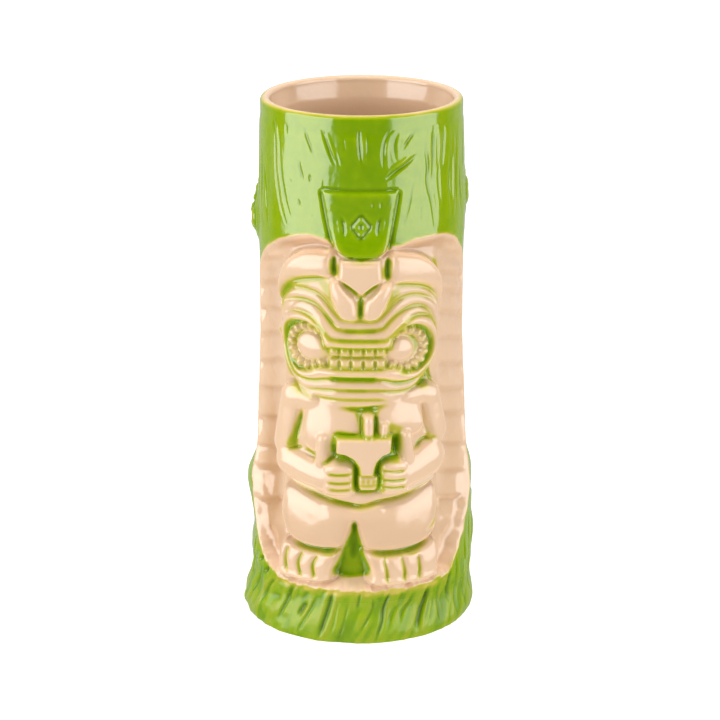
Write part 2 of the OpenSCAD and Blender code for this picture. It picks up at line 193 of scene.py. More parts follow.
def make_world():
    """A white backdrop behind the mug, and a dark room behind the camera."""
    world = bpy.data.worlds.new("studio")
    bpy.context.scene.world = world
    world.use_nodes = True
    tree = world.node_tree
    tree.nodes.clear()
    split = add_node(tree, "SeparateXYZ", {0: position(tree, "Generated")})
    glow = map_range(tree, split.outputs["Y"], 0.3, 0.95, ROOM, BACKDROP)
    room = add_node(tree, "Background", {"Color": WHITE, "Strength": glow})
    white = add_node(tree, "Background", {"Color": WHITE, "Strength": 1.0})
    path = add_node(tree, "LightPath", {})
    seen = add_node(tree, "MixShader", {
        "Fac": path.outputs["Is Camera Ray"], 1: room.outputs[0], 2: white.outputs[0]})
    add_node(tree, "OutputWorld", {"Surface": seen.outputs[0]})


def make_floor():
    """A round white sheet that fades into the backdrop."""
    spokes = FLOOR_SPOKES
    verts, faces = [(0, 0, 0)], []
    for r in range(1, FLOOR_RINGS + 1):
        d = FLOOR_RADIUS * (r / FLOOR_RINGS) ** 1.5
        for k in range(spokes):
            a = 2 * math.pi * k / spokes
            verts.append((d * math.cos(a), d * math.sin(a), 0))
    for k in range(spokes):
        faces.append((0, 1 + k, 1 + (k + 1) % spokes))
    for r in range(FLOOR_RINGS - 1):
        for k in range(spokes):
            a, b = 1 + r * spokes + k, 1 + r * spokes + (k + 1) % spokes
            faces.append((a, a + spokes, b + spokes, b))
    mesh = bpy.data.meshes.new("floor")
    mesh.from_pydata(verts, [], faces)
    floor = bpy.data.objects.new("floor", mesh)
    link_to_scene(floor)
    material, _, shader = new_material("floor_paper")
    fill_inputs(shader, {
        "Base Color": (0.3, 0.3, 0.3, 1), "Roughness": 0.7, "Specular IOR Level": 0.2,
        "Emission Color": WHITE, "Emission Strength": 0.95})
    mesh.materials.append(material)
    floor.visible_glossy = False
    floor.visible_shadow = False


make_camera()
make_lights()
make_world()
make_floor()
bpy.context.scene.view_settings.view_transform = "Standard"

# ---------------------------------------------------------------- curves and profiles

def curve(points, closed=False, steps=6):
    """A smooth run of points through the given ones (Catmull-Rom)."""
    p = np.array(points, float)
    n = len(p)
    if n == 2:
        return p
    out = []
    spans = n if closed else n - 1
    for i in range(spans):
        b, c = p[i], p[(i + 1) % n]
        a = p[i - 1] if closed or i > 0 else 2 * b - c
        d = p[(i + 2) % n] if closed or i + 2 < n else 2 * c - b
        for k in range(steps):
            t = k / steps
            out.append(0.5 * (2 * b + (c - a) * t + (2 * a - 5 * b + 4 * c - d) * t * t
                              + (3 * b - a - 3 * c + d) * t ** 3))
    out.append(p[0] if closed else p[-1])
    return np.array(out)


def ramp(x, a, b):
    """0 below a, 1 above b, smooth between."""
    t = np.clip((x - a) / (b - a), 0, 1)
    return t * t * (3 - 2 * t)


def bell(x):
    """1 at 0, falling smoothly to 0 at 1."""
    return np.clip(1 - x * x, 0, 1) ** 2


def mix(a, b, t):
    """a at t = 0, b at t = 1, and a straight blend between."""
    return a + (b - a) * t


def smooth_max(a, b, k):
    """The larger of two fields, rounded where they are within k of each other."""
    h = np.clip(k - np.abs(a - b), 0, None) / k
    return np.maximum(a, b) + h * h * k / 4


def smooth_min(a, b, k):
    """The smaller of two fields, rounded in the same way."""
    return -smooth_max(-a, -b, k)


def nearest(path, S, Z):
    """Distance to a path, and how far along it the nearest point is, from 0 to 1."""
    steps = np.diff(path, axis=0)
    lengths = np.hypot(steps[:, 0], steps[:, 1]) + 1e-9
    starts = np.concatenate([[0], np.cumsum(lengths)[:-1]])
    total = lengths.sum()
    best = np.full(S.shape, 1e9)
    t = np.zeros(S.shape)
    for (s0, z0), (ds, dz), length, start in zip(path[:-1], steps, lengths, starts):
        u = np.clip(((S - s0) * ds + (Z - z0) * dz) / length ** 2, 0, 1)
        d = (S - s0 - u * ds) ** 2 + (Z - z0 - u * dz) ** 2
        closer = d < best
        best = np.where(closer, d, best)
        t = np.where(closer, (start + u * length) / total, t)
    return np.sqrt(best), t


def inside(path, S, Z):
    """Which points lie inside a closed path."""
    hit = np.zeros(S.shape, bool)
    for (s0, z0), (s1, z1) in zip(path[:-1], path[1:]):
        if z0 == z1:
            continue
        crosses = (Z < z0) != (Z < z1)
        hit ^= crosses & (S < s0 + (Z - z0) * (s1 - s0) / (z1 - z0))
    return hit


def depth_in(path, S, Z):
    """Signed distance to a closed path, positive inside."""
    d, _ = nearest(path, S, Z)
    return np.where(inside(path, S, Z), d, -d)


def lattice_noise(u, v, period, seed):
    """Smooth noise from -1 to 1 on a unit lattice that repeats every period in u."""
    table = np.random.RandomState(seed).rand(period, 512) * 2 - 1
    iu, iv = np.floor(u).astype(int), np.floor(v).astype(int)
    fu, fv = u - iu, v - iv
    fu, fv = fu * fu * (3 - 2 * fu), fv * fv * (3 - 2 * fv)
    a, b = iu % period, (iu + 1) % period
    c, d = iv % 512, (iv + 1) % 512
    return mix(mix(table[a, c], table[b, c], fu), mix(table[a, d], table[b, d], fu), fv)


def noise(S, Z, size_s, size_z, seed, octaves=2, lean=0.0):
    """Noise with grains of about size_s by size_z mm, leaning lean mm across per mm up."""
    total, weight = 0, 1.0
    for k in range(octaves):
        period = max(3, int(round(ROUND / size_s * 2 ** k)))
        u = (S - lean * Z) / ROUND * period
        total = total + weight * lattice_noise(u, Z / size_z * 2 ** k + 7, period, seed + k)
        weight *= 0.5
    return total / (2 - 2 * weight)


# ---------------------------------------------------------------- the relief and its brushes

STUMP_LINE = [(0.8, 38.4), (2.0, 39.1), (4.5, 39.3), (8, 38.8), (13, 37.8), (18, 37.8),
              (24, 37.9), (32, 37.5), (40, 37.7), (48, 37.5), (54, 36.6), (60, 35.6),
              (70, 35.1), (82, 34.6), (98, 33.9), (116, 33.8), (128, 34.1), (138, 34.5),
              (146, 34.5), (154, 34.1), (166, 33.9), (172, 33.7), (175.2, 33.4)]


def stump_radius(Z):
    """Radius of the bare stump at each height."""
    line = curve(STUMP_LINE, steps=8)
    return np.interp(Z, line[:, 0], line[:, 1])


class Relief:
    """Radius, glaze and piece of every point over a stretch of the mug's wall."""

    def __init__(self, s_from, s_to, columns, rows):
        self.s = np.linspace(s_from, s_to, columns + 1)
        self.z = np.linspace(LOW, HIGH, rows + 1)
        self.S, self.Z = np.meshgrid(self.s, self.z)
        self.R = stump_radius(self.Z)
        # green glaze thickness; below 0 it holds the niche's brown painted shade, and it is
        # thinned round the sides as painted light
        self.glaze = np.ones(self.S.shape)
        self.label = np.zeros(self.S.shape, int)

    def window(self, points, margin):
        """The part of the sheet near some points, and its coordinates turned to match."""
        low, high = points.min(0) - margin, points.max(0) + margin
        middle = (low[0] + high[0]) / 2
        s = middle + (self.s - middle + ROUND / 2) % ROUND - ROUND / 2
        columns = np.where((s >= low[0]) & (s <= high[0]))[0]
        rows = np.where((self.z >= low[1]) & (self.z <= high[1]))[0]
        if len(columns) == 0 or len(rows) == 0:
            return None
        part = (slice(rows[0], rows[-1] + 1), slice(columns[0], columns[-1] + 1))
        S, Z = np.meshgrid(s[part[1]], self.z[part[0]])
        return part, S, Z


def coat(sheet, part, mark):
    """Leaves green glaze of a given thickness, over any brown painted shade there."""
    before = sheet.glaze[part]
    sheet.glaze[part] = np.maximum(before, np.minimum(before, 0) + mark)


def groove(sheet, points, width, depth, glaze=0.0, taper=0.3, bank=0.0, spread=1.3,
           start=None):
    """Cuts a rounded groove of half-width width along a smooth path, thin at its ends.
    bank raises its sides, and spread widens its band of glaze."""
    path = curve(points)
    found = sheet.window(path, width * 3 + 0.5)
    if not found:
        return
    part, S, Z = found
    d, t = nearest(path, S, Z)
    first = taper if start is None else start
    ends = np.ones(S.shape)
    if taper:
        ends = np.clip(np.minimum(t / max(first, 1e-6), (1 - t) / taper), 0, 1) ** 0.7
    wide = width * (0.45 + 0.55 * ends)
    sheet.R[part] -= depth * ends * bell(d / wide)
    if bank:
        sheet.R[part] += bank * ends * bell((d - 1.5 * wide) / wide)
    if glaze:
        coat(sheet, part, glaze * ends * bell(d / (wide * spread)))


def ridge(sheet, points, width, height, taper=0.3):
    """Raises a rounded ridge along a smooth path."""
    groove(sheet, points, width, -height, 0.0, taper)


def form(sheet, outline, crest, edge, drop, blend=0.7, bow=(0, 0), middle=None,
         smooth=True, side=2.6, label=None, glaze=None):
    """Lays a rounded form on the relief. Its face is at radius crest in the middle and
    bows back by bow mm per mm squared across and up; its edges round off by drop."""
    path = curve(outline, True) if smooth else np.array(outline + outline[:1], float)
    part, S, Z = sheet.window(path, drop + 2)
    deep = depth_in(path, S, Z)
    ring = 1 - np.clip(deep / edge, 0, 1)
    s0, z0 = middle if middle else (path[:, 0].mean(), path[:, 1].mean())
    face = crest - bow[0] * (S - s0) ** 2 - bow[1] * (Z - z0) ** 2
    face = face - drop * (1 - np.sqrt(np.clip(1 - ring * ring, 0, 1)))
    face = face - side * np.clip(-deep, 0, None)
    sheet.R[part] = smooth_max(sheet.R[part], face, blend)
    if label is not None:
        sheet.label[part][deep > -0.1] = label
    if glaze is not None:
        sheet.glaze[part] = mix(sheet.glaze[part], glaze, ramp(deep, -0.3, 0.3))


def rod(sheet, a, b, radius, crest, end_radius, end_crest, blend, label=None, flat=1.0):
    """Lays a round rod from a to b on the relief, with its top at crest to end_crest."""
    path = np.array([a, b], float)
    part, S, Z = sheet.window(path, max(radius, end_radius) + 1.5)
    d, t = nearest(path, S, Z)
    wide = mix(radius, end_radius, t)
    top = mix(crest, end_crest, t)
    x = d / wide
    face = top - wide * flat * (1 - np.sqrt(np.clip(1 - x * x, 0, 1)))
    face = face - 3 * np.clip(d - wide, 0, None)
    sheet.R[part] = smooth_max(sheet.R[part], face, blend)
    if label is not None:
        sheet.label[part][d < wide] = label


def hollow(sheet, outline, floor, edge, glaze=0.0):
    """Cuts a hollow with a flat floor at radius floor and walls edge wide."""
    path = curve(outline, True)
    part, S, Z = sheet.window(path, edge + 1)
    deep = depth_in(path, S, Z)
    sheet.R[part] = np.minimum(sheet.R[part],
                               mix(sheet.R[part], floor, ramp(deep, -edge / 2, edge / 2)))
    if glaze:
        coat(sheet, part, glaze * ramp(deep, -0.5, 0.6))


def stain(sheet, points, width, glaze, taper=0.3):
    """Leaves glaze on a band along a path, without cutting."""
    groove(sheet, points, width, 0.0, glaze, taper, spread=1.0)


def stains(sheet, rows):
    """Leaves a table of stains: path, half-width, glaze and, where it isn't 0.3, taper."""
    for points, *how in rows:
        stain(sheet, points, *how)


def patch(sheet, outline, glaze, soft=1.0):
    """Leaves glaze inside an outline."""
    path = curve(outline, True)
    part, S, Z = sheet.window(path, soft + 1)
    deep = depth_in(path, S, Z)
    coat(sheet, part, glaze * ramp(deep, -soft, soft))


def around(s, middle):
    """Arc length from the middle, the shorter way round the mug."""
    return (s - middle + ROUND / 2) % ROUND - ROUND / 2


# ---------------------------------------------------------------- pieces

PIECES = [row["node"] for row in frame["record"]["subparts"]]
SLOT = {row["node"]: row["material_slot"] for row in frame["record"]["subparts"]}
LABEL = {name: k for k, name in enumerate(PIECES)}

# ---------------------------------------------------------------- the stump

NICHE = [(-9.5, 139.4), (-15, 140.6), (-20, 140.3), (-25, 138.9), (-30, 137.4),
         (-35, 134.6), (-40, 131.4), (-45, 127.6), (-48.8, 122), (-50, 114), (-50, 96),
         (-50, 78), (-49.6, 62), (-48.6, 50), (-46.5, 41), (-43.5, 34), (-40.5, 28.5),
         (-37, 24.8), (-32.5, 22.2), (-27.5, 20.4), (-20, 19.6), (-8, 19.2), (5, 19.1),
         (15, 19.3), (24, 20.2), (30.5, 22.2), (34.5, 25.5), (38, 30.5), (41.5, 36.5),
         (45, 44), (47.4, 53), (48.8, 64), (50, 78), (50, 96), (50, 114), (48.6, 123),
         (44.5, 130.5), (38.5, 135.6), (32, 138.3), (25, 139.3), (17, 139.3), (9.5, 137.6),
         (0, 138)]


def niche_depth(sheet):
    """Signed distance inside the niche's scalloped outer edge."""
    path = curve(NICHE, True)
    part, S, Z = sheet.window(path, 8)
    deep = np.full(sheet.S.shape, -20.0)
    deep[part] = depth_in(path, S, Z)
    chips = noise(sheet.S, sheet.Z, 5.0, 4.6, 31, 2)
    drips = noise(sheet.S, sheet.Z, 1.7, 4.0, 33, 2, 0.3)
    lower = 1 - ramp(sheet.Z, 45, 75)
    return deep + chips * mix(0.7, 1.2, lower) + drips * mix(0.15, 0.9, ramp(sheet.Z, 30, 21))


def painted_side_light(s):
    """Painted light: the green is made thinner, so lighter, round the sides and back than at
    the front.
    """
    return 0.16 * ramp(np.abs(around(s, 0)), 8, 16)


def carve_stump(sheet):
    """Bark: gentle upright swells, burls at the sides and swollen roots."""
    S, Z = sheet.S, sheet.Z
    # painted light: lighter green round the sides and back
    sheet.glaze -= painted_side_light(S) * ramp(Z, 18, 26)
    upper = ramp(Z, 18, 26)
    sheet.R += upper * 0.20 * noise(S, Z, 9, 50, 3, 2, 0.04)
    sheet.R += upper * 0.07 * noise(S, Z, 7, 20, 7, 1, 0.04)
    sheet.R += upper * 0.10 * noise(S, Z, 3.2, 38, 5, 2, 0.05)
    lip_blend = ramp(Z, HIGH - 3.0, HIGH - 0.3)
    sheet.R = mix(sheet.R, LIP_R, lip_blend)
    # the stump swells over the roots, and bulges and narrows at the sides
    swell = ramp(Z, 66, 52) * ramp(Z, 24, 34)
    sheet.R += swell * 0.5 * noise(S, Z, 16, 15, 9, 1)
    sheet.R -= 1.0 * np.sin(S / SWEEP) * ramp(Z, 20, 8)
    for side, swells in ((-1, ((46, 10, 1.7), (31, 5, -0.7), (60, 6, -0.5))),
                         (1, ((52, 5, 0.3), (43.8, 3.2, -1.3), (28, 8, 1.1)))):
        near = bell(around(S, side * 57) / 10)
        for z, reach, height in swells:
            sheet.R += height * near * bell((Z - z) / reach)


def burl(sheet, s, z, radius, height):
    """A knot in the bark: a round swelling with a ring groove and a hollow eye."""
    path = np.array([(s, z), (s, z + 0.01)])
    found = sheet.window(path, radius * 2)
    if not found:
        return
    part, S, Z = found
    d = np.hypot(S - s, (Z - z) * 0.85)
    sheet.R[part] += height * bell(d / (radius * 1.7))
    sheet.R[part] -= 0.5 * height * bell(d / (radius * 0.42))
    sheet.R[part] -= 0.35 * bell((d - radius * 0.95) / (radius * 0.22))
    eye, rim = bell(d / (radius * 0.4)), bell((d - radius) / (radius * 0.25))
    coat(sheet, part, 1.35 * np.maximum(eye, 0.9 * rim))
    sheet.label[part][d < radius] = LABEL["knot_left" if s < 0 else "knot_right"]


# Front gouges as cut, before the glaze part fills them: path, half-width, depth, glaze
BARK_GOUGES = [
    ([(-20.6, 177), (-18.4, 172), (-15, 165)], 0.75, 0.7, 1.45),
    ([(-13.6, 176.4), (-11.4, 171), (-9.4, 166), (-8.2, 164)], 1.0, 0.8, 1.4),
    ([(-8.9, 169), (-7.8, 165.6), (-7, 163.4)], 0.6, 0.45, 0.9),
    ([(-6.2, 174), (-5.6, 170.5), (-5.2, 167.5)], 0.5, 0.35, 1.0),
    ([(-21.6, 165), (-21.2, 162), (-19.4, 157)], 0.9, 0.7, 1.4),
    ([(-17.4, 160.8), (-17, 157)], 0.8, 0.6, 1.3),
    ([(-21.8, 152), (-21.2, 149)], 0.85, 0.6, 1.3),
    ([(-16.4, 148.2), (-16, 145.8)], 0.6, 0.4, 1.1),
    ([(-25.5, 157.6), (-24.4, 156.6)], 0.6, 0.4, 1.2),
    ([(-0.6, 178), (-0.8, 172), (-0.1, 165), (0.8, 163)], 1.0, 0.85, 1.45),
    ([(11.6, 176.6), (8.4, 173.4), (7, 168), (7.2, 162)], 0.95, 0.7, 1.2),
    ([(12.2, 174.6), (10.7, 171), (10.9, 166.6), (11.6, 165.2)], 0.85, 0.65, 1.3),
    ([(18.8, 174.6), (16, 172.2), (13, 168.3)], 0.8, 0.8, 1.6),
    ([(19, 167), (15, 164.2), (11, 161.8), (7.6, 159.2)], 1.2, 0.9, 1.2),
    ([(19.4, 163), (17.4, 157.5), (15.6, 150.5), (13.8, 144.5), (13.8, 141)], 0.65, 0.45, 1.25),
    ([(22.8, 174), (22, 169), (22.8, 162), (22.6, 157), (24.4, 150), (25.4, 143), (26, 139.6)],
     0.9, 0.6, 1.2),
    ([(26.4, 177), (25.4, 170), (25.2, 164), (25, 159)], 0.8, 0.7, 1.4),
    ([(31.4, 176), (30.4, 168), (29.4, 160)], 1.0, 0.5, 0.9),
    ([(28, 172), (27.6, 160), (28.8, 146)], 0.9, 0.35, 0.9),
    ([(38.6, 170), (38, 158), (37.4, 145)], 1.2, 0.5, 1.0),
    ([(41.6, 162), (41.6, 150), (42.6, 141)], 0.9, 0.5, 1.2),
    ([(34.2, 166), (33.4, 156), (34, 146)], 0.8, 0.4, 1.1),
    ([(-35.4, 178), (-33, 170), (-32.4, 160), (-30, 150), (-26.6, 142.4)], 1.3, 0.7, 0.9),
    ([(-30.6, 170), (-29.6, 160), (-27, 150), (-23.6, 143.4)], 0.9, 0.5, 1.1),
    ([(-40.6, 160), (-38.8, 149), (-36.8, 140)], 1.1, 0.6, 1.0),
    ([(-44.6, 172), (-43.4, 160), (-43, 150), (-40.8, 139)], 0.9, 0.5, 1.2),
    ([(-27.8, 176), (-27, 172)], 0.7, 0.45, 1.2),
    ([(-47.6, 166), (-47, 152), (-46.4, 140)], 0.9, 0.5, 1.2),
    ([(46.4, 174), (45.6, 164), (46.4, 152)], 0.8, 0.45, 1.2),
    ([(20.6, 152), (20, 146), (20.6, 142)], 0.7, 0.35, 1.1),
    ([(-12.2, 160), (-12.8, 154)], 0.6, 0.35, 1.1),
]
BARK_RIDGES = [
    ([(-33.8, 178), (-31.4, 168), (-31, 158), (-28.4, 148)], 1.3, 0.35),
    ([(9.8, 175.8), (8.2, 171), (8.4, 164)], 0.8, 0.35),
    ([(0.9, 176), (1.1, 170), (1.2, 165)], 0.7, 0.35),
    ([(-11.8, 174), (-9.2, 168), (-7.4, 164.4)], 0.7, 0.35),
    ([(24.2, 176), (23.6, 168), (24, 158)], 0.8, 0.4),
    ([(28, 178), (28.2, 168), (27, 158)], 1.1, 0.35),
    ([(37, 172), (36.2, 156), (36, 142)], 1.4, 0.45),
    ([(9.6, 162.4), (13.6, 165), (18, 168.4)], 0.7, 0.35),
]


def carve_bark_front(sheet):
    """Gouges with a low bank each side, and ridges between them."""
    for points, width, depth, glaze in BARK_GOUGES:
        groove(sheet, points, width * 0.8, depth * 0.55, glaze * 0.95, 0.35, depth * 0.1, 1.0)
    for points, width, height in BARK_RIDGES:
        ridge(sheet, points, width, height * 0.8, 0.4)


def carve_bark_back(sheet):
    """Long gouges in loose rows round the sides and back, drawn by a seeded hand."""
    hand = np.random.RandomState(17)
    for row_z, count in ((156, 22), (122, 19), (88, 19), (56, 21)):
        for k in range(count):
            s = 51 + (ROUND - 102) * (k + hand.uniform(0.1, 0.9)) / count
            z = row_z + hand.uniform(-11, 11)
            length = hand.uniform(14, 40)
            lean = hand.uniform(-0.12, 0.16)
            bend = hand.uniform(-1.0, 1.0)
            width = hand.uniform(0.7, 1.3)
            if z + length / 2 > HIGH - 3:
                z = HIGH - 3 - length / 2
            top, low = z + length / 2, max(z - length / 2, 20)
            points = [(s + lean * length / 2, top), (s + bend, (top + low) / 2),
                      (s - lean * length / 2, low)]
            groove(sheet, points, width, 0.5 * width, hand.uniform(1.0, 1.3), 0.35,
                   bank=0.1, spread=1.0)


# Root grooves at the front, as cut: path, half-width, depth, glaze
ROOT_GROOVES = [
    ([(-21, 20.4), (-22.8, 17), (-24.4, 12.5), (-27, 5)], 0.9, 0.9, 1.3),
    ([(-16.8, 14), (-18.4, 11.2), (-19.8, 8)], 1.2, 1.1, 1.5),
    ([(-13.4, 17), (-15.4, 12), (-18.6, 5), (-20, 1)], 0.8, 0.7, 1.1),
    ([(-7.6, 21.4), (-9, 17.4), (-9.8, 13.5), (-12.4, 3), (-12.8, 0.8)], 1.1, 1.2, 1.5),
    ([(-6, 18), (-7.4, 13.5), (-8.2, 8), (-9.4, 3)], 0.6, 0.55, 0.9),
    ([(-3.6, 16), (-4.8, 11), (-6, 5.5), (-7.6, 0.8)], 0.6, 0.6, 1.0),
    ([(-0.4, 19.6), (-0.8, 16), (-1.6, 12.6)], 0.7, 0.7, 1.3),
    ([(3.2, 18.6), (3.4, 14), (1.6, 9), (-0.6, 5)], 0.7, 0.65, 1.2),
    ([(9.2, 20.4), (8, 16.8), (6.6, 12.6), (6, 8), (3.6, 1)], 1.0, 1.1, 1.5),
    ([(11.6, 14.4), (9.6, 11), (7.8, 8.2)], 0.7, 0.6, 1.0),
    ([(16.8, 17.6), (15, 14), (12.4, 10.8), (11.4, 7)], 0.8, 0.7, 1.3),
    ([(13, 18.6), (11.8, 15.6), (10.8, 13.6)], 0.6, 0.5, 1.1),
    ([(22.4, 19.8), (21, 14), (19.2, 10), (17.6, 5.6), (17.4, 2)], 1.7, 1.5, 1.6),
    ([(23, 13.4), (21.4, 9.6), (19.6, 5)], 0.7, 0.6, 1.2),
    ([(30.4, 22.6), (31, 19.6), (30.2, 14.6), (31, 9)], 0.9, 0.9, 1.4),
    ([(26.6, 19.4), (25.8, 12), (26.4, 4)], 0.8, 0.6, 1.0),
    ([(34, 25.4), (34.8, 18), (33.6, 9), (34.8, 2)], 0.9, 0.7, 1.1),
    ([(-28.4, 20.6), (-32.6, 14.6), (-36, 7)], 1.0, 0.9, 1.2),
    ([(-33, 21.6), (-35.6, 18.6)], 1.2, 0.9, 1.5),
    ([(-36.6, 24), (-39.6, 21.6)], 1.1, 0.9, 1.4),
    ([(-37.4, 20), (-41.6, 12), (-44.6, 4)], 1.0, 0.8, 1.1),
    ([(-43.6, 29), (-46.6, 19), (-49.6, 9)], 1.1, 0.9, 1.2),
    ([(40.4, 31), (40.8, 22), (39, 12), (40.4, 3)], 1.0, 0.8, 1.1),
    ([(45.6, 38), (46.2, 28), (44.8, 16), (46, 6)], 1.1, 0.9, 1.2),
    ([(50.2, 44), (51.2, 32), (50.4, 20), (51.6, 8)], 1.0, 0.8, 1.2),
    ([(-48.6, 42), (-51.6, 32), (-53, 20)], 1.0, 0.8, 1.2),
]


def carve_roots(sheet):
    """Twisted root strands: a leaning grain, then grooves cut one by one."""
    S, Z = sheet.S, sheet.Z
    low = ramp(Z, 24, 15)
    strands = noise(S, Z, 3.6, 18, 41, 2, 0.36)
    fine = noise(S, Z, 1.3, 10, 47, 1, 0.4)
    lumps = noise(S, Z, 12, 14, 53, 1, 0.2)
    cord = 1 - 2 * np.abs(strands)
    sheet.R += low * (0.28 * cord + 0.24 * strands + 0.07 * fine + 0.6 * lumps * ramp(Z, 1, 7))
    sheet.glaze = sheet.glaze + low * 0.3 * np.clip(-cord, 0, 1) - 0.22 * low * ramp(cord, 0, 1)
    for points, width, depth, glaze in ROOT_GROOVES:
        groove(sheet, points, width * 0.9, depth * 0.75, glaze, 0.25, 0.1, 1.0)
    # knobbly burrs, most on the left
    burrs = ramp(Z, 36, 26) * ramp(np.abs(S + 40), 26, 14) + 0.4 * low
    sheet.R += 0.42 * burrs * noise(S, Z, 3.4, 4.2, 59, 2, 0.2)
    # the sides and back, drawn by a seeded hand
    hand = np.random.RandomState(29)
    count = 34
    for k in range(count):
        s = 54 + (ROUND - 108) * (k + hand.uniform(0.2, 0.8)) / count
        top = hand.uniform(16, 34)
        lean = hand.uniform(0.1, 0.4)
        width = hand.uniform(0.7, 1.4)
        points = [(s + lean * top / 2, top), (s + hand.uniform(-1, 1), top / 2),
                  (s - lean * top / 2, hand.uniform(0.8, 5))]
        groove(sheet, points, width, 0.75 * width, hand.uniform(1.1, 1.5), 0.3, bank=0.15,
               spread=1.0)


# ---------------------------------------------------------------- the niche

# Heights where one chisel facet ends and the next begins, 40 mm round from the front
FACETS_RIGHT = (36, 45, 54.5, 63.7, 75.2, 83.6, 92.5, 101.3, 110.6, 118, 124, 131, 139)
FACETS_LEFT = (34, 44.2, 55.6, 62.5, 73.6, 83.8, 93.6, 103.1, 111.9, 121.5, 129, 138)
FACET_SLOPE = 0.28                 # they fall towards the niche's outer edge


def facet_cut(level, heights):
    """How deep a stack of facets is cut, from 0 to 1, and how near its undercuts are."""
    ends = (level.min() - 20, *heights, level.max() + 20)
    t = np.interp(level, ends, np.arange(len(ends))) % 1.0
    size = np.interp(level, ends[:-1], np.diff(ends))
    foot = np.clip(2.2 / size, 0.15, 0.4)
    cut = np.where(t < 1 - foot, t / (1 - foot), (1 - t) / foot)
    near = bell((t - (1 - 0.6 * foot)) / (0.9 * foot))
    return ramp(cut, 0, 1), near


def carve_niche(sheet):
    """Opens the niche: a bevelled border of chisel facets round a flat bed."""
    S, Z = sheet.S, sheet.Z
    on_left = S < 0
    deep = niche_depth(sheet)
    within = deep > 0
    side = ramp(np.abs(S), 50.5, 32) ** 0.85
    ends = ramp(deep, 0, 4.2)
    ends = np.where(Z > 60, ends, ramp(deep, 0, 3.4))
    bevel = smooth_min(side, ends, 0.3)
    lower = ramp(Z, 50, 34) * ramp(np.abs(S), 26, 36)
    bevel = mix(bevel, bevel * 0.75, lower)
    bed = mix(sheet.R, NICHE_BED, bevel)
    # broad chisel facets that face up, each with a shadowed undercut at its foot
    wander = 0.7 * noise(S, Z, 14, 20, 61, 2)
    level = Z + FACET_SLOPE * (np.abs(S) - 40) + wander * np.where(on_left, 2.2, 0.5)
    right, right_edge = facet_cut(level, FACETS_RIGHT)
    left, left_edge = facet_cut(level, FACETS_LEFT)
    zone = ramp(deep, 0.4, 3.2) * ramp(np.abs(S), 29.5, 33)
    cut = np.where(S > 0, 0.85 * right, 0.95 * left)
    edges = np.where(S > 0, right_edge, 0.7 * left_edge)
    chisel = 0.3 * noise(S, Z, 5.5, 6, 67, 2) * zone * ramp(Z, 30, 44)
    chisel = chisel * np.where(on_left, 1.5, 1.0)
    bed = bed - cut * zone * ramp(Z, 24, 36) * ramp(Z, 138, 130) + chisel
    band = bell((np.abs(S) - 40) / 9) * ramp(deep, 1, 4) * ramp(Z, 132, 118)
    bed = bed - np.where(on_left, 0.9, 0.3) * band
    rim = 0.35 * bell((deep - 0.7) / 1.3)
    sheet.R = np.where(within, bed, sheet.R) + rim
    # painted shade: brown along the border's sunken band, most on the left and low down, at the
    # foot of each facet by its undercut, and under the arch's top edge; also a little brown low
    # down inside the border
    low = ramp(Z, 90, 60)
    along = np.where(on_left, mix(0.16, 0.42, low), mix(0.03, 0.12, low))
    painted_shade_brown = along * band + np.where(on_left, 0.24, 0.16) * zone * edges
    painted_shade_brown = painted_shade_brown + 0.34 * ramp(Z, 131, 137) * ramp(deep, 0.8, 2.5)
    painted_shade_brown = painted_shade_brown + 0.14 * ramp(Z, 52, 42) * ramp(deep, 5, 12)
    sheet.glaze = mix(sheet.glaze, -painted_shade_brown, ramp(deep, -0.35, 0.45))
    # the border's pieces
    front = within & (np.abs(S) < QUARTER + 1)
    strip = (np.abs(S) > 44) & (np.abs(S) <= QUARTER) & (Z > 24) & (Z < 134.6)
    for side, half in (("left", on_left), ("right", ~on_left)):
        sheet.label[(front | strip) & half] = LABEL["niche_side_" + side]
        sheet.label[front & (Z > 134.6) & half] = LABEL["niche_arch_" + side]
    sheet.label[front & (Z < 24)] = LABEL["niche_ledge"]


# ---------------------------------------------------------------- the face

HEAD = [(-9.5, 135.6), (-15, 135.9), (-20, 134.7), (-25, 131.9), (-28.7, 128),
        (-31, 123), (-31.6, 117), (-31, 110), (-30.2, 103), (-29, 97), (-26.4, 92.6),
        (-22.4, 88.8), (-17.5, 85.9), (-9, 83.6), (0, 82.9), (8, 84), (13.4, 85.4),
        (18.6, 88.2), (22.4, 91), (25.6, 95.4), (27.8, 100.5), (28.8, 106), (29.6, 112),
        (30, 118), (29, 123.4), (26.6, 127.7), (23.6, 130.9), (19.6, 133.2), (15, 134.7),
        (9.5, 134.9)]
BROW_LEFT = [(-9.3, 135.2), (-12, 135.6), (-15, 135.6), (-20, 134.4), (-25, 131.6),
             (-28.4, 127.8), (-30.8, 123), (-32, 117), (-31.2, 115.6), (-30, 118.4),
             (-27.6, 122.4), (-24.4, 125), (-20, 126.5), (-15, 127.4), (-9.7, 127.8)]
BROW_RIGHT = [(9.3, 134.7), (15, 134.4), (20, 132.9), (24, 130.5), (27, 127.2),
              (29.3, 123), (30.4, 117.4), (29.6, 115.8), (28.4, 118.4), (26, 120.8),
              (23, 122.8), (19.5, 124.4), (15, 125.4), (9.6, 125.8)]
NOSE = [(-6.3, 133.4), (5.5, 133.4), (6.1, 126.6), (3.4, 124.9), (0, 122), (-3.6, 124.9),
        (-6.8, 127.2)]
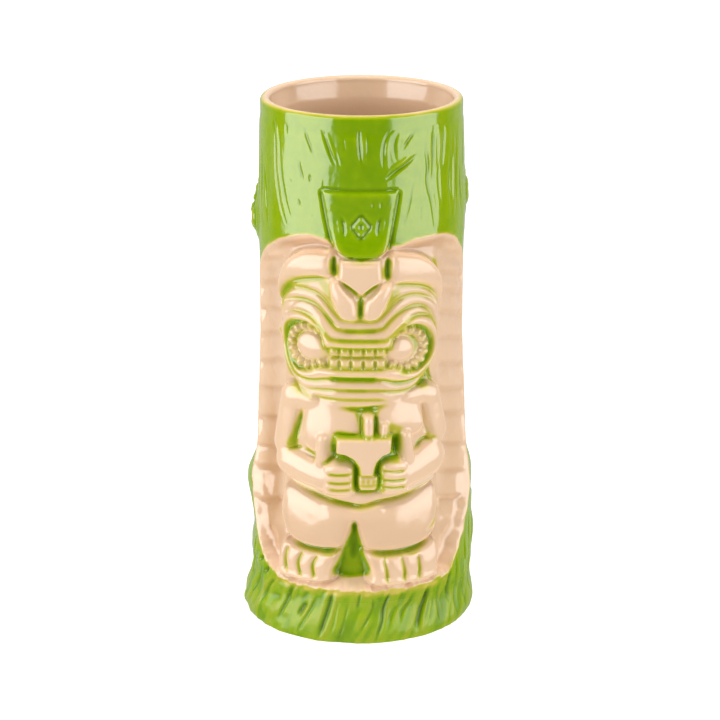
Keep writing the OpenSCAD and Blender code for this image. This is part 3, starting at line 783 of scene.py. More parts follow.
MUZZLE_GROOVES = [
    # path, half-width, depth, glaze
    ([(-30, 117.6), (-28, 120), (-25, 121.5), (-20, 122.4), (-15, 121.7), (-12, 119.6),
      (-10, 117), (-8, 114.7), (-6, 113.2), (0, 112.8), (4, 112.8), (6, 113.8), (8, 115.8),
      (10.4, 118.4), (13, 120.1), (16.4, 120.7), (20, 120), (24, 118.3), (27, 115.5)],
     1.15, 0.8, 0.62),
    ([(-28.4, 116.4), (-24.4, 118), (-20, 118.6), (-16, 118.1), (-14, 117), (-12, 115),
      (-10, 112.4), (-8.2, 110.4), (-6, 109.7), (0, 109.6), (5.6, 109.9), (7.6, 111),
      (10, 113.4), (12, 114.9), (15, 116.4), (18, 116.8), (21, 116), (24, 113.6),
      (26.4, 110)], 1.15, 0.85, 0.66),
    ([(-27.6, 112.8), (-23.4, 114.3), (-19.4, 114.5), (-16.2, 113.3), (-14, 111.5),
      (-12, 109.2), (-10, 107), (-8, 106.4), (0, 106.3), (6.6, 106.3), (8.2, 106.9),
      (10, 108.4), (12.2, 110.4), (15, 112.5), (18, 113.7), (21.2, 113.2), (24.2, 111.4),
      (26.2, 108.4), (27, 104.6), (26.5, 100.4), (24.6, 96.4), (21.4, 92.9)],
     1.1, 0.85, 0.7),
]
CHIN_GROOVES = [
    ([(-28.8, 107), (-28.6, 102), (-27, 97), (-23.6, 93.5), (-19.6, 91.7), (-15, 91.8),
      (-11, 92.6), (0, 92.8), (5.6, 92.7), (8, 92.3), (11, 91.3), (15, 91.2), (19, 92.6),
      (22.4, 95.6), (24.6, 98.8)], 1.15, 1.05, 0.75),
    ([(-21.6, 88.8), (-18.4, 88.3), (-14, 88.6), (-8, 89), (0, 89.1), (5, 89), (9.4, 88.4),
      (14, 88.3), (17.6, 89.2), (21, 91.4), (24, 95)], 1.0, 0.8, 0.66),
    ([(-17, 86.4), (-13, 85.9), (-7, 85.8), (0, 85.9), (5, 85.8), (9.4, 85.3)], 0.95, 0.7, 0.7),
]
MOUTH_LEFT, MOUTH_RIGHT = (-19.8, 103.0), (16.6, 102.6)
BOSS_LEFT, BOSS_RIGHT = (-17.2, 103.0), (12.6, 102.3)
TOOTH_GAPS = (-10.6, -7.1, -3.4, 0.5, 4.2, 7.8)
TOOTH_ROWS = ((100.9, 103.7), (96.6, 100.0))
BEADS = 12                         # bead teeth a side
BEAD_ARCS = [
    # middle, reach and rise of a bead's outer and inner end, first angle, sweep in degrees
    ((-17.6, 103.2), (7.5, 7.3), (6.6, 6.4), 62, 246),
    ((14.4, 102.5), (7.6, 6.9), (6.7, 6.1), 118, -246)]


def mouth_depth(S, Z):
    """Signed distance inside the mouth's opening: two ovals joined by a bar."""
    def oval(at, half_s, half_z):
        return (1 - np.hypot((S - at[0]) / half_s, (Z - at[1]) / half_z)) * half_s
    bar = np.minimum(np.minimum(Z - 96.0, 104.1 - Z),
                     np.minimum(S - MOUTH_LEFT[0], MOUTH_RIGHT[0] - S))
    ovals = np.maximum(oval(MOUTH_LEFT, 8.6, 9.0), oval(MOUTH_RIGHT, 8.2, 8.4))
    return smooth_max(ovals, bar, 1.2)


def carve_face(sheet):
    """The head: brows, muzzle and chin bands, then nose and mouth."""
    form(sheet, HEAD, 35.5, 3.4, 2.0, 0.8, (0.0012, 0.0), (-0.5, 108),
         label=LABEL["muzzle_left"])
    face = sheet.label == LABEL["muzzle_left"]
    sheet.label[face & (sheet.S > -0.5)] = LABEL["muzzle_right"]
    sheet.label[face & (sheet.Z < 92.6) & (np.abs(sheet.S) < 29)] = LABEL["chin"]
    # upper lip and cheeks swell
    form(sheet, [(-28, 104), (-25, 114), (-19, 118.4), (-13, 115), (-8, 111), (0, 110.6),
                 (7, 111), (12, 114.6), (18, 117), (24, 113), (27, 104), (23, 95),
                 (15, 92), (0, 92.4), (-16, 92.2), (-24, 95)],
         36.6, 5, 1.2, 1.2, (0.0008, 0.004), (-0.5, 104))
    form(sheet, BROW_LEFT, 37.4, 2.6, 1.9, 0.7, (0.002, 0.01), (-14, 132),
         label=LABEL["brow_left"])
    form(sheet, BROW_RIGHT, 37.4, 2.5, 1.9, 0.7, (0.002, 0.01), (13, 131),
         label=LABEL["brow_right"])
    # hollow under the brows
    under_left = [(-10, 126.6), (-15, 126.2), (-20, 125.2), (-24.6, 123.4), (-28.2, 120),
                  (-30.8, 116), (-31.6, 112)]
    under_right = [(10, 124.5), (15, 124.1), (20, 123), (23.4, 121.5), (26.2, 118.9),
                   (28.2, 115.8)]
    groove(sheet, under_left, 1.9, 0.8, 0.6, 0.25, start=0.12, spread=0.9)
    groove(sheet, under_right, 1.6, 0.75, 0.55, 0.3, start=0.1, spread=0.8)
    patch(sheet, [(-16, 126.2), (-19, 126), (-23, 124.6), (-27.4, 121.6), (-30.4, 118),
                  (-31.4, 113.6), (-29.6, 113.4), (-27.6, 116.6), (-24, 121), (-18, 123.8)],
          0.4, 1.8)
    patch(sheet, [(-25, 124), (-28.6, 121), (-31.2, 116.6), (-30, 115), (-27.6, 118),
                  (-24.6, 121.4)], 0.75, 1.2)
    for table, widen, taper, colour_widen, colour_taper in (
            (MUZZLE_GROOVES, 1.25, 0.08, 1.05, 0.12), (CHIN_GROOVES, 1.2, 0.1, 1.0, 0.15)):
        for points, width, depth, glaze in table:
            groove(sheet, points, width * widen, depth * 0.75, 0, taper)
            stain(sheet, points, width * colour_widen, glaze * 0.85, colour_taper)
    # the middle of the grooves holds more glaze
    stains(sheet, [
        ([(-6.5, 109.6), (0, 109.5), (5.6, 109.7)], 1.0, 0.95, 0.15),
        ([(-9, 106.4), (0, 106.3), (7, 106.3)], 0.9, 0.9, 0.15),
        ([(-13, 116), (-10.6, 113.4), (-8.2, 110.6)], 0.9, 0.95),
        ([(-15, 112.4), (-12.6, 110), (-10, 107)], 0.8, 0.9)])
    groove(sheet, [(-11.2, 93), (-6, 93), (0, 93.1), (5.8, 92.8)], 1.3, 0.5, 1.0, 0.12)
    stain(sheet, [(8.4, 92.2), (12, 91.2), (16, 91.4)], 1.2, 0.75, 0.3)
    stain(sheet, [(-8, 89), (0, 89.1), (5, 89)], 0.8, 0.85, 0.3)
    carve_nose(sheet)
    carve_mouth(sheet)


def carve_nose(sheet):
    """Two nostrils under a flat bridge, with deep slots beside it."""
    for outline, middle, name in (
            ([(-9.6, 126.4), (-7.4, 126.6), (-4.4, 123), (-1.6, 119.4), (-1.1, 114.2),
              (-2.8, 112.9), (-6.2, 113.8), (-8.2, 117.6), (-10, 122.6)], (-5.6, 119.5),
             "nostril_left"),
            ([(9.4, 125.4), (6.6, 125.5), (3.4, 122), (0.6, 119.2), (0.5, 114.4),
              (2.2, 113), (5.4, 114.2), (7.4, 118), (9.4, 122.4)], (4.8, 119.3),
             "nostril_right")):
        form(sheet, outline, 38.1, 2.1, 2.2, 0.4, (0.03, 0.004), middle, label=LABEL[name])
    form(sheet, NOSE, 38.0, 1.2, 1.0, 0.4, (0.0, 0.004), (0, 130), smooth=False,
         label=LABEL["nose_bridge"])
    for points in ([(-6.6, 126.6), (-3.4, 123.9), (-0.4, 120.8)],
                   [(5.8, 125.6), (2.8, 123.7), (0, 120.8)]):
        groove(sheet, points, 0.7, 0.75, 0.9, 0.25)
    groove(sheet, [(-0.2, 122), (-0.3, 118), (-0.5, 112.8)], 0.75, 0.8, 1.15, 0.2, spread=1.4)
    stain(sheet, [(-0.2, 121.6), (-0.4, 117), (-0.5, 113)], 1.9, 0.32, 0.2)
    # deep slots each side of the bridge
    for points in ([(-8.9, 134.9), (-8.9, 131), (-8.6, 127.4)],
                   [(8.6, 134.4), (8.1, 130), (8.3, 125.9)]):
        groove(sheet, points, 1.15, 1.4, 1.2, 0.2, spread=1.15)
    stain(sheet, [(-7.3, 133), (-7.3, 127)], 0.8, 0.5)
    stain(sheet, [(6.4, 132), (6.5, 126.4)], 0.8, 0.5)
    # glaze runs beside the nostrils
    patch(sheet, [(-14, 126), (-10.4, 125.6), (-9.6, 121), (-8.4, 117), (-11, 119.8),
                  (-13, 123.4)], 0.42, 1.2)
    patch(sheet, [(10, 123), (12.4, 122.4), (10.4, 119), (7.8, 116), (8, 119)], 0.45, 1.0)


def carve_mouth(sheet):
    """A wide mouth: lips, cheek bosses ringed with beads, and bar teeth."""
    part, S, Z = sheet.window(np.array([(-30.0, 90.0), (28.0, 115.0)]), 1)
    deep = mouth_depth(S, Z)
    ring = bell((deep + 1.2) / 1.7)
    R = sheet.R[part] + 0.75 * ring
    floor = 33.9 + 0.5 * ramp(np.abs(S + 1.5), 14, 6)
    R = mix(R, floor, ramp(deep, -0.3, 1.3))
    sheet.R[part] = R
    names = sheet.label[part]
    names[(deep > -2.1) & (deep <= 0.4)] = LABEL["mouth_lips"]
    for name, where in (("teeth_upper", Z >= 100.4), ("teeth_lower", Z < 100.4),
                        ("cheek_teeth_left", S < -12.4), ("cheek_teeth_right", S > 9.4)):
        names[(deep > 0.4) & where] = LABEL[name]
    sheet.label[part] = names
    # glaze pools against the lips, most at the outer ends
    outer = np.maximum(ramp(S, -17, -25), ramp(S, 14, 21)) * 0.3 + 0.45
    coat(sheet, part, bell((deep - 0.9) / 1.3) * outer * 1.15)
    stains(sheet, [
        ([(-26, 98.5), (-27.3, 103), (-26.4, 108), (-23, 111), (-19, 111.4)], 1.15, 1.05),
        ([(16, 110.4), (20, 109.2), (23, 105.6), (23.6, 101.4), (22.4, 98)], 0.75, 0.7),
        ([(11, 95.2), (14.6, 94.6), (18, 96)], 1.0, 0.8)])
    # round bosses in the cheeks
    form(sheet, [(-22, 103.8), (-20.4, 106.6), (-17, 107.6), (-13.4, 106.4), (-9.8, 103),
                 (-11.6, 100.4), (-15.6, 98.8), (-20, 99.6)], 36.1, 4.6, 1.2, 1.0,
         (0.004, 0.006), BOSS_LEFT, label=LABEL["cheek_boss_left"])
    form(sheet, [(17, 102.6), (15.6, 105.4), (12.6, 106.4), (9.4, 105), (7.6, 102.6),
                 (9.4, 100), (12.6, 98.8), (15.8, 99.8)], 36.0, 4.4, 1.2, 1.0,
         (0.004, 0.006), BOSS_RIGHT, label=LABEL["cheek_boss_right"])
    stains(sheet, [
        ([(-18, 108), (-21.4, 106.6), (-23, 103.6), (-22.4, 100.6)], 1.0, 0.6),
        ([(14.4, 107), (17.4, 105.6), (18.6, 102.8), (17.8, 99.8)], 1.0, 0.75),
        ([(-17.6, 98.8), (-15.6, 98.6), (-13.4, 99)], 0.7, 0.4)])
    # bead teeth in an arc round the outer side of each boss
    away = np.minimum(np.hypot(S - BOSS_LEFT[0], Z - BOSS_LEFT[1]),
                      np.hypot(S - BOSS_RIGHT[0], Z - BOSS_RIGHT[1]))
    coat(sheet, part, 0.17 * ramp(deep, 0.2, 1.2) * ramp(away, 3.4, 5.6))
    for k in range(BEADS):
        for (s, z), outside, inward, first, sweep in BEAD_ARCS:
            a = math.radians(first + sweep * k / (BEADS - 1))
            ends = [(s + reach * math.cos(a), z + rise * math.sin(a))
                    for reach, rise in (outside, inward)]
            rod(sheet, *ends, 1.1, 35.9, 1.0, 35.8, 0.3)
    # bar teeth in two rows
    for low, high in TOOTH_ROWS:
        for a, b in zip(TOOTH_GAPS[:-1], TOOTH_GAPS[1:]):
            form(sheet, [(a + 0.35, low), (b - 0.35, low), (b - 0.35, high), (a + 0.35, high)],
                 36.3, 1.1, 0.8, 0.5, smooth=False)
    for s in TOOTH_GAPS:
        for top, foot in ((103.6, 101.2), (99.6, 96.6)):
            groove(sheet, [(s, top), (s + 0.1, foot)], 0.45, 0.2, 0.8, 0.15)
    groove(sheet, [(-11, 100.4), (0, 100.5), (8, 100.5)], 0.5, 0.2, 0.75, 0.1)
    stain(sheet, [(-10.4, 103.9), (0, 103.9), (8.6, 103.7)], 0.6, 0.85, 0.05)
    stain(sheet, [(-10.4, 96.2), (0, 96.2), (8, 96.2)], 0.7, 0.5, 0.1)
    # upper and lower lip edges
    ridge(sheet, [(-13, 105.4), (-10, 105.1), (0, 105.1), (8, 105.1), (10.6, 106.4)], 0.9, 0.12)
    ridge(sheet, [(-12, 95.2), (0, 95.1), (9, 94.9)], 0.9, 0.2)


# ---------------------------------------------------------------- the plaque

PLAQUE = [(-12.9, 155.4), (11.8, 155.2), (10.1, 146), (8.6, 139), (7.4, 135.9), (5, 134.3),
          (0, 133.5), (-5, 134.3), (-7.8, 136.2), (-9.2, 139.4), (-11.2, 146.5)]


def carve_plaque(sheet):
    """A shield that leans out towards its foot, with a groove along its edge."""
    for points, width, depth, taper in (
            ([(-13.3, 156.1), (0, 156), (12.2, 155.9)], 0.7, 0.45, 0.05),
            ([(-13.7, 156), (-11.9, 147), (-10, 139), (-9, 135.4)], 0.8, 0.7, 0.08),
            ([(12.6, 155.8), (10.9, 147), (9.4, 139.6), (8.7, 135.6)], 0.8, 0.65, 0.08)):
        groove(sheet, points, width, depth, 1.15, taper, spread=1.0)
    before = sheet.R.copy()
    form(sheet, PLAQUE, 34.7, 1.1, 0.7, 0.3, (0, 0), (0, 145), smooth=False, side=2.2,
         label=LABEL["forehead_plaque"], glaze=0.98)
    rise = ramp(sheet.Z, 146, 134) * ((sheet.R - before) > 0)
    sheet.R += 2.5 * rise * (sheet.label == LABEL["forehead_plaque"])
    # a lozenge with a pit in it, a bent stroke each side, and two small cuts above right
    lozenge = [(-0.2, 148.2), (3.0, 144.2), (-0.2, 140.2), (-3.4, 144.2), (-0.2, 148.2)]
    for a, b in zip(lozenge[:-1], lozenge[1:]):
        groove(sheet, [a, b], 0.7, 0.55, 1.35, 0.04, bank=0.12)
    groove(sheet, [(-0.2, 144.6), (-0.2, 143.8)], 0.9, 0.5, 1.35, 0)
    for side in (-1, 1):
        groove(sheet, [(side * 6.4 - 0.2, 147.6), (side * 5.6 - 0.2, 144.6),
                       (side * 5.2 - 0.2, 141)], 0.75, 0.5, 1.35, 0.25, bank=0.1)
    for s in (3.6, 6.2):
        groove(sheet, [(s, 152.6), (s, 149.8)], 0.5, 0.25, 1.15, 0.3, bank=0.08)
    stain(sheet, [(-7, 134.8), (-4, 133.4), (0, 132.8), (4, 133.4), (7, 134.8)], 1.1, 0.3)
    groove(sheet, [(-5.8, 132.5), (0, 132.3), (5.2, 132.5)], 0.8, 0.5, 0, 0.1)


# ---------------------------------------------------------------- the body

def carve_body(sheet):
    """Belly, breast, arms and shoulders, then what the hands hold."""
    form(sheet, [(-23, 88), (-28, 84), (-31.4, 76), (-32.6, 68), (-31, 60), (-28, 55),
                 (-15, 51), (0, 49), (15, 51), (27, 56), (31, 66), (30.6, 76), (26.6, 85),
                 (21.6, 89), (12, 86), (0, 84), (-12, 86)],
         34.2, 3, 1.6, 0.8, (0.0008, 0.0), (-1, 70), label=LABEL["belly"])
    # breast
    form(sheet, [(-20.4, 86), (-19.6, 80), (-20.2, 74), (-19.4, 69), (-15, 66.4), (-6, 69),
                 (-0.4, 73), (0.4, 80), (-0.4, 84), (-10, 86)], 35.9, 5, 1.6, 0.7,
         (0.002, 0.005), (-10, 71), label=LABEL["chest_left"])
    form(sheet, [(20.6, 88.4), (20.6, 82), (22.4, 75.6), (18, 72), (12, 73), (4.4, 73),
                 (3.6, 80), (4.6, 84.4), (12, 87)], 35.8, 5, 1.6, 0.7,
         (0.002, 0.005), (12, 74), label=LABEL["chest_right"])
    for name, a, b, radius, crest, end_radius, end_crest, blend, flat in (
            ("upper_arm_left", (-25.6, 84.2), (-29, 67), 4.2, 36.2, 5.0, 36.4, 1.3, 0.45),
            ("upper_arm_right", (25.2, 84.6), (28, 71.6), 3.6, 36.0, 4.4, 36.2, 1.2, 0.45),
            ("forearm_left", (-27.2, 61.4), (-12.6, 58.2), 5.2, 37.0, 4.8, 37.6, 0.9, 0.55),
            ("forearm_right", (25.2, 63.0), (14.4, 59.4), 6.4, 37.0, 4.9, 37.6, 0.9, 0.5)):
        rod(sheet, a, b, radius, crest, end_radius, end_crest, blend, LABEL[name], flat)
    # the shoulders run into the breast
    form(sheet, [(-29, 86), (-24, 89), (-16, 87), (-14.6, 83), (-20, 81), (-27, 80)],
         36.1, 4.5, 1.8, 1.4, (0.003, 0.004), (-21, 84.5))
    form(sheet, [(28, 86.6), (23, 89), (15, 88), (13.6, 84.6), (20, 83), (26.8, 81.6)],
         35.9, 4.5, 1.8, 1.4, (0.003, 0.004), (21, 85))
    carve_held_cup(sheet)
    carve_hands(sheet)
    # belly under the forearms
    form(sheet, [(-26, 55.4), (-15, 54.6), (-5, 54), (5, 54), (15, 54.6), (26, 56.6),
                 (25, 55.4), (15, 52.4), (5, 50.8), (0, 49.4), (-5, 50.3), (-10, 51.2),
                 (-15, 52.6)], 36.4, 1.8, 1.3, 0.8, label=LABEL["belly"])
    # green left between the forms
    groove(sheet, [(-21, 80.8), (-22.9, 74), (-24.8, 68)], 1.4, 1.0, 0.9, 0.3, spread=0.75)
    patch(sheet, [(-21.2, 79), (-22.6, 76.6), (-24.2, 71.8), (-25.8, 67.4), (-24, 66.8),
                  (-23, 69), (-22.4, 73)], 0.85, 0.8)
    groove(sheet, [(-27, 66), (-24, 66.4), (-20.6, 67.4)], 0.9, 0.8, 0.6, 0.3)
    stain(sheet, [(-20.4, 67), (-17, 66), (-15.4, 64)], 1.3, 0.6)
    groove(sheet, [(21.4, 82.6), (22.2, 77), (24.4, 71.6), (27, 69)], 1.3, 1.2, 0.12, 0.35)
    stain(sheet, [(22.4, 72.6), (24.6, 70.6), (27, 69.2)], 0.8, 0.55)
    groove(sheet, [(17.6, 66.4), (19.4, 68), (22, 69.8), (26.4, 69.2)], 1.0, 1.0, 0.62, 0.3)
    # under the chin
    groove(sheet, [(-8, 83), (0, 82.4), (4, 82.8), (9, 84)], 1.2, 1.0, 0.75, 0.3)
    patch(sheet, [(-1.6, 83), (5.2, 83), (5, 80), (4.6, 74), (3.6, 73.4), (4, 80.6),
                  (0, 80.8), (-0.6, 74), (-1.2, 78)], 0.75, 0.7)
    stain(sheet, [(-22.6, 89.4), (-19.6, 87), (-15.4, 85)], 1.2, 0.42)
    groove(sheet, [(-22.8, 89.6), (-19.4, 86.8), (-14.6, 84.8)], 1.2, 0.5, 0, 0.3)


def carve_hand(sheet, name, palm, middle, thumb, knuckles, bend, tips):
    """A palm, a thumb that stands up, and the grooves between four fingers. Each groove
    runs from a knuckle through the bend to the tips, given as an s and a step in z."""
    form(sheet, palm, 38.0, 1.6, 1.3, 0.5, (0.004, 0), middle, label=LABEL[name])
    rod(sheet, *thumb, 0.5, LABEL[name])
    for z, s, glaze in knuckles:
        points = [(s, z), (bend[0], z + bend[1]), (tips[0], z + tips[1])]
        groove(sheet, points, 0.8, 0.75, glaze, 0.15, spread=0.9)


def carve_hands(sheet):
    """Both hands, and the folds between forearms, belly and thighs."""
    carve_hand(sheet, "hand_left", [
        (-11.4, 53.4), (-11.8, 58), (-11.4, 62.8), (-7, 63.9), (-3, 63), (-2.8, 58),
        (-2.9, 54), (-6, 53)], (-7, 58), ((-12.5, 72), (-13.1, 63.6), 1.75, 37.6, 2.2, 37.4),
        ((60.45, -10.6, 0.85), (57.5, -10.6, 0.85), (55.1, -10.4, 0.7)), (-7, -0.1),
        (-2.8, 0.5))
    groove(sheet, [(-8.9, 71.4), (-9, 68), (-9.4, 65)], 1.0, 1.0, 1.15, 0.25)
    groove(sheet, [(-9.4, 65.4), (-11, 64.2), (-12.6, 63)], 0.9, 0.8, 0.7, 0.35, start=0.05)
    stains(sheet, [([(-10.4, 73.6), (-9, 72.6), (-8.6, 66), (-7.6, 65)], 1.2, 0.65),
                   ([(-15.4, 66.6), (-15.4, 63.4)], 0.8, 0.5)])
    carve_hand(sheet, "hand_right", [
        (5.9, 54.4), (5.8, 59), (6.2, 63.8), (9.6, 64.7), (14, 63.8), (14.4, 59),
        (14.2, 54.4), (10, 53.8)], (10, 59), ((14.5, 73), (15.2, 64.4), 1.75, 37.6, 2.3, 37.4),
        ((61.5, 13.6, 0.7), (58.3, 14, 0.85), (55.8, 13.8, 0.85)), (10, -0.2), (5.8, 0.7))
    groove(sheet, [(11.1, 73.2), (11.3, 70), (11.4, 66)], 1.25, 1.1, 1.25, 0.25)
    stains(sheet, [([(9.6, 73), (9.8, 69), (10.4, 65.4), (13.6, 65.2)], 0.9, 0.6),
                   ([(10.6, 75), (13, 74.8)], 0.9, 0.55)])
    # folds between forearm, belly and thighs
    groove(sheet, [(-11.4, 53.2), (-15, 54), (-20, 54.6), (-26, 55.4)], 1.1, 0.8, 0.12, 0.3)
    groove(sheet, [(-26, 55.1), (-20, 53.6), (-15, 51.9), (-10, 50.6), (-5, 49.6),
                   (-1, 48.9), (2.4, 49.5), (6, 50.6), (11, 51.2), (15, 52.2), (20, 54.1),
                   (25.4, 55.8)], 1.35, 0.85, 0.5, 0.2)
    stain(sheet, [(-12, 51), (-8, 50.2), (-4, 49.6), (0, 49.4), (3, 50)], 0.9, 0.8, 0.3)
    stain(sheet, [(-18, 53.2), (-13, 52), (-7, 51.6)], 0.7, 0.4, 0.4)
    groove(sheet, [(14.6, 54.2), (18, 54.6), (22, 55.4)], 0.9, 0.5, 0, 0.3)


def carve_held_cup(sheet):
    """The small cup in the hands: a flat-topped bowl on a stem, with a toothed jaw below."""
    patch(sheet, [(-8.4, 74.6), (-1, 74.4), (10, 74), (12.4, 74), (12, 65), (6.6, 64),
                  (6.6, 54.6), (4.6, 54.2), (-2.4, 54.4), (-2.8, 63.4), (-7.6, 64.6),
                  (-10, 66)], 0.72, 0.8)
    hollow(sheet, [(-2.8, 63.8), (-2.8, 54.4), (2, 54.2), (6.2, 54.6), (6.4, 63.8),
                   (9.6, 66.4), (4, 69), (-1, 69), (-8, 66.4)], 35.7, 2.2)
    form(sheet, [(-7.5, 73), (-7.6, 67.9), (-5, 67.5), (-2.4, 66), (-0.8, 63.4), (-0.4, 60.4),
                 (3.5, 60.4), (3.7, 62.2), (4.5, 64.8), (6.2, 66.9), (8.7, 68), (9, 73)],
         38.3, 1.1, 1.0, 0.4, (-0.004, 0.0), (1, 70), smooth=False, label=LABEL["held_cup"],
         glaze=0.0)
    form(sheet, [(-0.9, 59.9), (-0.9, 57), (-0.4, 55.1), (4.3, 55.1), (4.9, 57), (4.9, 59.9)],
         37.6, 0.9, 0.9, 0.4, smooth=False, label=LABEL["held_cup_teeth"], glaze=0.05)
    for s in (0.5, 2.0, 3.6):
        groove(sheet, [(s, 59.3), (s, 57.3)], 0.42, 0.35, 0.7, 0.2)
    groove(sheet, [(-0.8, 56.8), (2, 56.7), (4.8, 56.9)], 0.5, 0.35, 0.6, 0.1)
    stains(sheet, [
        ([(-7, 67.2), (-4.4, 66.9), (-2, 65.2), (-0.8, 62.6), (-0.6, 60.4)], 0.6, 1.0, 0.1),
        ([(8.4, 67.2), (6.4, 66.2), (4.8, 64.2), (4.2, 61), (4.6, 60)], 0.9, 1.05, 0.1),
        ([(-0.6, 60.2), (2, 60.2), (3.8, 60.2)], 0.45, 0.9, 0.1)])
    for points in ([(-1.7, 63.4), (-1.9, 59), (-1.8, 54.6)], [(5.5, 62), (5.6, 58), (5.5, 55)]):
        groove(sheet, points, 1.1, 0.4, 1.1, 0.15)
    stain(sheet, [(-1.6, 54.4), (2, 54.2), (5.4, 54.5)], 0.6, 0.85, 0.2)
    stain(sheet, [(-8, 65.3), (-5.4, 65.4), (-3.4, 64.8)], 0.9, 0.75, 0.2)
    # straws
    rod(sheet, (2.2, 79.4), (2.2, 73.6), 1.45, 37.9, 1.45, 38.0, 0.3, label=LABEL["straws"])
    rod(sheet, (7.2, 77.2), (6.8, 73.6), 1.1, 37.3, 1.1, 37.4, 0.3, label=LABEL["straws"])
    groove(sheet, [(0.2, 80.6), (0.1, 77), (0.2, 73.4)], 0.6, 0.7, 0.75, 0.15)
    groove(sheet, [(4.5, 80.6), (4.6, 77), (4.5, 73.4)], 0.95, 1.1, 1.0, 0.15)
    patch(sheet, [(8.6, 78), (11, 77), (13.6, 75.6), (11, 74.6), (8.6, 74.4)], 0.45, 0.8)
    groove(sheet, [(-9.4, 74.4), (-5, 73.9), (-0.6, 73.8)], 0.9, 0.9, 0.62, 0.2)
    groove(sheet, [(8.6, 74), (10, 74.2)], 0.8, 0.6, 0.6, 0.2)


# ---------------------------------------------------------------- the legs

def carve_legs(sheet):
    """Squat thighs, feet with toes, and the cleft between them."""
    for name, middle, outline in (
            ("thigh_left", (-13, 39.5), [
                (-28.2, 53), (-23, 53.4), (-15, 51.2), (-10, 49.9), (-5, 49), (-2.4, 48),
                (-2.4, 44), (-4.6, 37.4), (-6.2, 34.4), (-10, 33.3), (-15, 32.9),
                (-21, 33.4), (-26, 35.6), (-28.8, 41), (-29.4, 47)]),
            ("thigh_right", (12, 39.5), [
                (-2, 48), (0, 47.8), (5, 49.4), (11, 50.4), (15, 51.3), (22, 54), (26, 53.8),
                (27.6, 48), (26.8, 41), (24.6, 36.4), (20, 33.6), (12, 32.6), (5, 32.9),
                (0.6, 34.2), (-0.8, 37.4), (-2, 44)])):
        form(sheet, outline, 38.2, 5.5, 3.0, 0.8, (0.003, 0.0065), middle, label=LABEL[name])
    # the lap between the thighs
    form(sheet, [(-12, 49.6), (-3, 48), (6, 49), (8, 44), (2, 41.4), (-2, 43), (-7, 41),
                 (-12, 43)], 37.9, 4, 1.4, 1.0, (0.004, 0.006), (-2, 46))
    for name, middle, outline in (
            ("foot_left", (-18, 26.6), [
                (-27, 33.6), (-22, 32.8), (-15, 32.2), (-8.4, 32.6), (-8.6, 29),
                (-9.8, 25.6), (-10.8, 22.4), (-20, 21.2), (-28.4, 22.2), (-28.4, 27)]),
            ("foot_right", (13, 26.6), [
                (1.2, 32.6), (8, 31.8), (14, 32), (20, 32.8), (24.6, 34.8), (26, 31),
                (25.4, 26), (24, 21.8), (14, 21), (3.6, 21.6), (2.8, 25), (2, 28.6)])):
        form(sheet, outline, 38.9, 2.6, 1.8, 0.7, (0.0015, 0.022), middle, label=LABEL[name])
    # toes
    toes = [([(-24, 32.6), (-24.9, 29), (-25, 26.4), (-24.4, 22.8)], 0.8),
            ([(-18.4, 32), (-20, 28), (-19.9, 25.6), (-18.9, 22.4)], 0.85),
            ([(-13.4, 31.4), (-15, 28), (-15, 25.6), (-14.4, 22.6)], 0.9),
            ([(7, 31.8), (7, 29), (7.6, 26), (7.8, 21.8)], 0.75),
            ([(12.2, 31.4), (12.8, 28), (13.2, 25), (12.8, 21.8)], 0.8),
            ([(17.8, 31), (18, 28), (18.2, 25), (17.6, 21.6)], 0.8)]
    for points, glaze in toes:
        groove(sheet, points, 1.0, 0.95, glaze, 0.15, spread=0.8)
        groove(sheet, points, 2.2, 0.35, 0, 0.15)
    # crease between thighs and feet
    groove(sheet, [(-25.4, 34.6), (-22, 33.4), (-15, 32.6), (-10, 32.8), (-6.4, 33.6)],
           1.3, 0.9, 0.75, 0.2, start=0.25)
    stain(sheet, [(-15, 32.6), (-10, 32.4), (-6, 32.8)], 1.5, 0.95, 0.4)
    groove(sheet, [(0.4, 33.4), (5, 32.2), (10, 31.9), (15, 32.4), (20, 33.3), (24.6, 35)],
           1.2, 0.9, 0.8, 0.2)
    stain(sheet, [(12, 31.8), (16, 31.6), (20, 32.2)], 1.0, 0.6, 0.4)
    # the dark cleft between the feet
    cleft = [(-2.3, 43.6), (-1, 38.6), (0.2, 34.4), (0.8, 31.6), (2.2, 28), (2.6, 25.8),
             (1.4, 23.6), (-3, 22.8), (-8.2, 23.2), (-9.4, 25.2), (-8, 28.4), (-6.6, 32),
             (-5.4, 35), (-3.6, 39)]
    hollow(sheet, cleft, 33.3, 3.4, 1.05)
    stain(sheet, [(-2.4, 38), (-2.8, 33), (-3.2, 27.4)], 2.6, 2.1, 0.35)
    stain(sheet, [(-2.4, 43.2), (-2.5, 38)], 1.3, 1.3, 0.3)
    # glaze caught beside the legs
    patch(sheet, [(-33, 44.6), (-31, 45), (-29.4, 42.6), (-28.4, 39.6), (-29.6, 37),
                  (-30.4, 41), (-32.4, 43)], 0.4, 0.9)
    groove(sheet, [(-30.8, 48), (-29.8, 43), (-29.2, 39), (-29.8, 34)], 1.2, 0.8, 0.6, 0.3)
    groove(sheet, [(27, 53), (27.4, 47), (26.2, 42.4), (24.4, 39)], 1.3, 0.8, 0.75, 0.3)
    patch(sheet, [(27.2, 48), (26, 46.4), (24, 42), (21, 39), (23.6, 39.6), (25.8, 41.6)],
          0.55, 0.9)
    stain(sheet, [(27.4, 51), (27.6, 44), (27, 38), (26.6, 32), (25.6, 26)], 0.8, 0.5)
    groove(sheet, [(27, 39), (27, 34), (25.8, 29), (24.6, 26)], 0.9, 0.6, 0.42, 0.35)


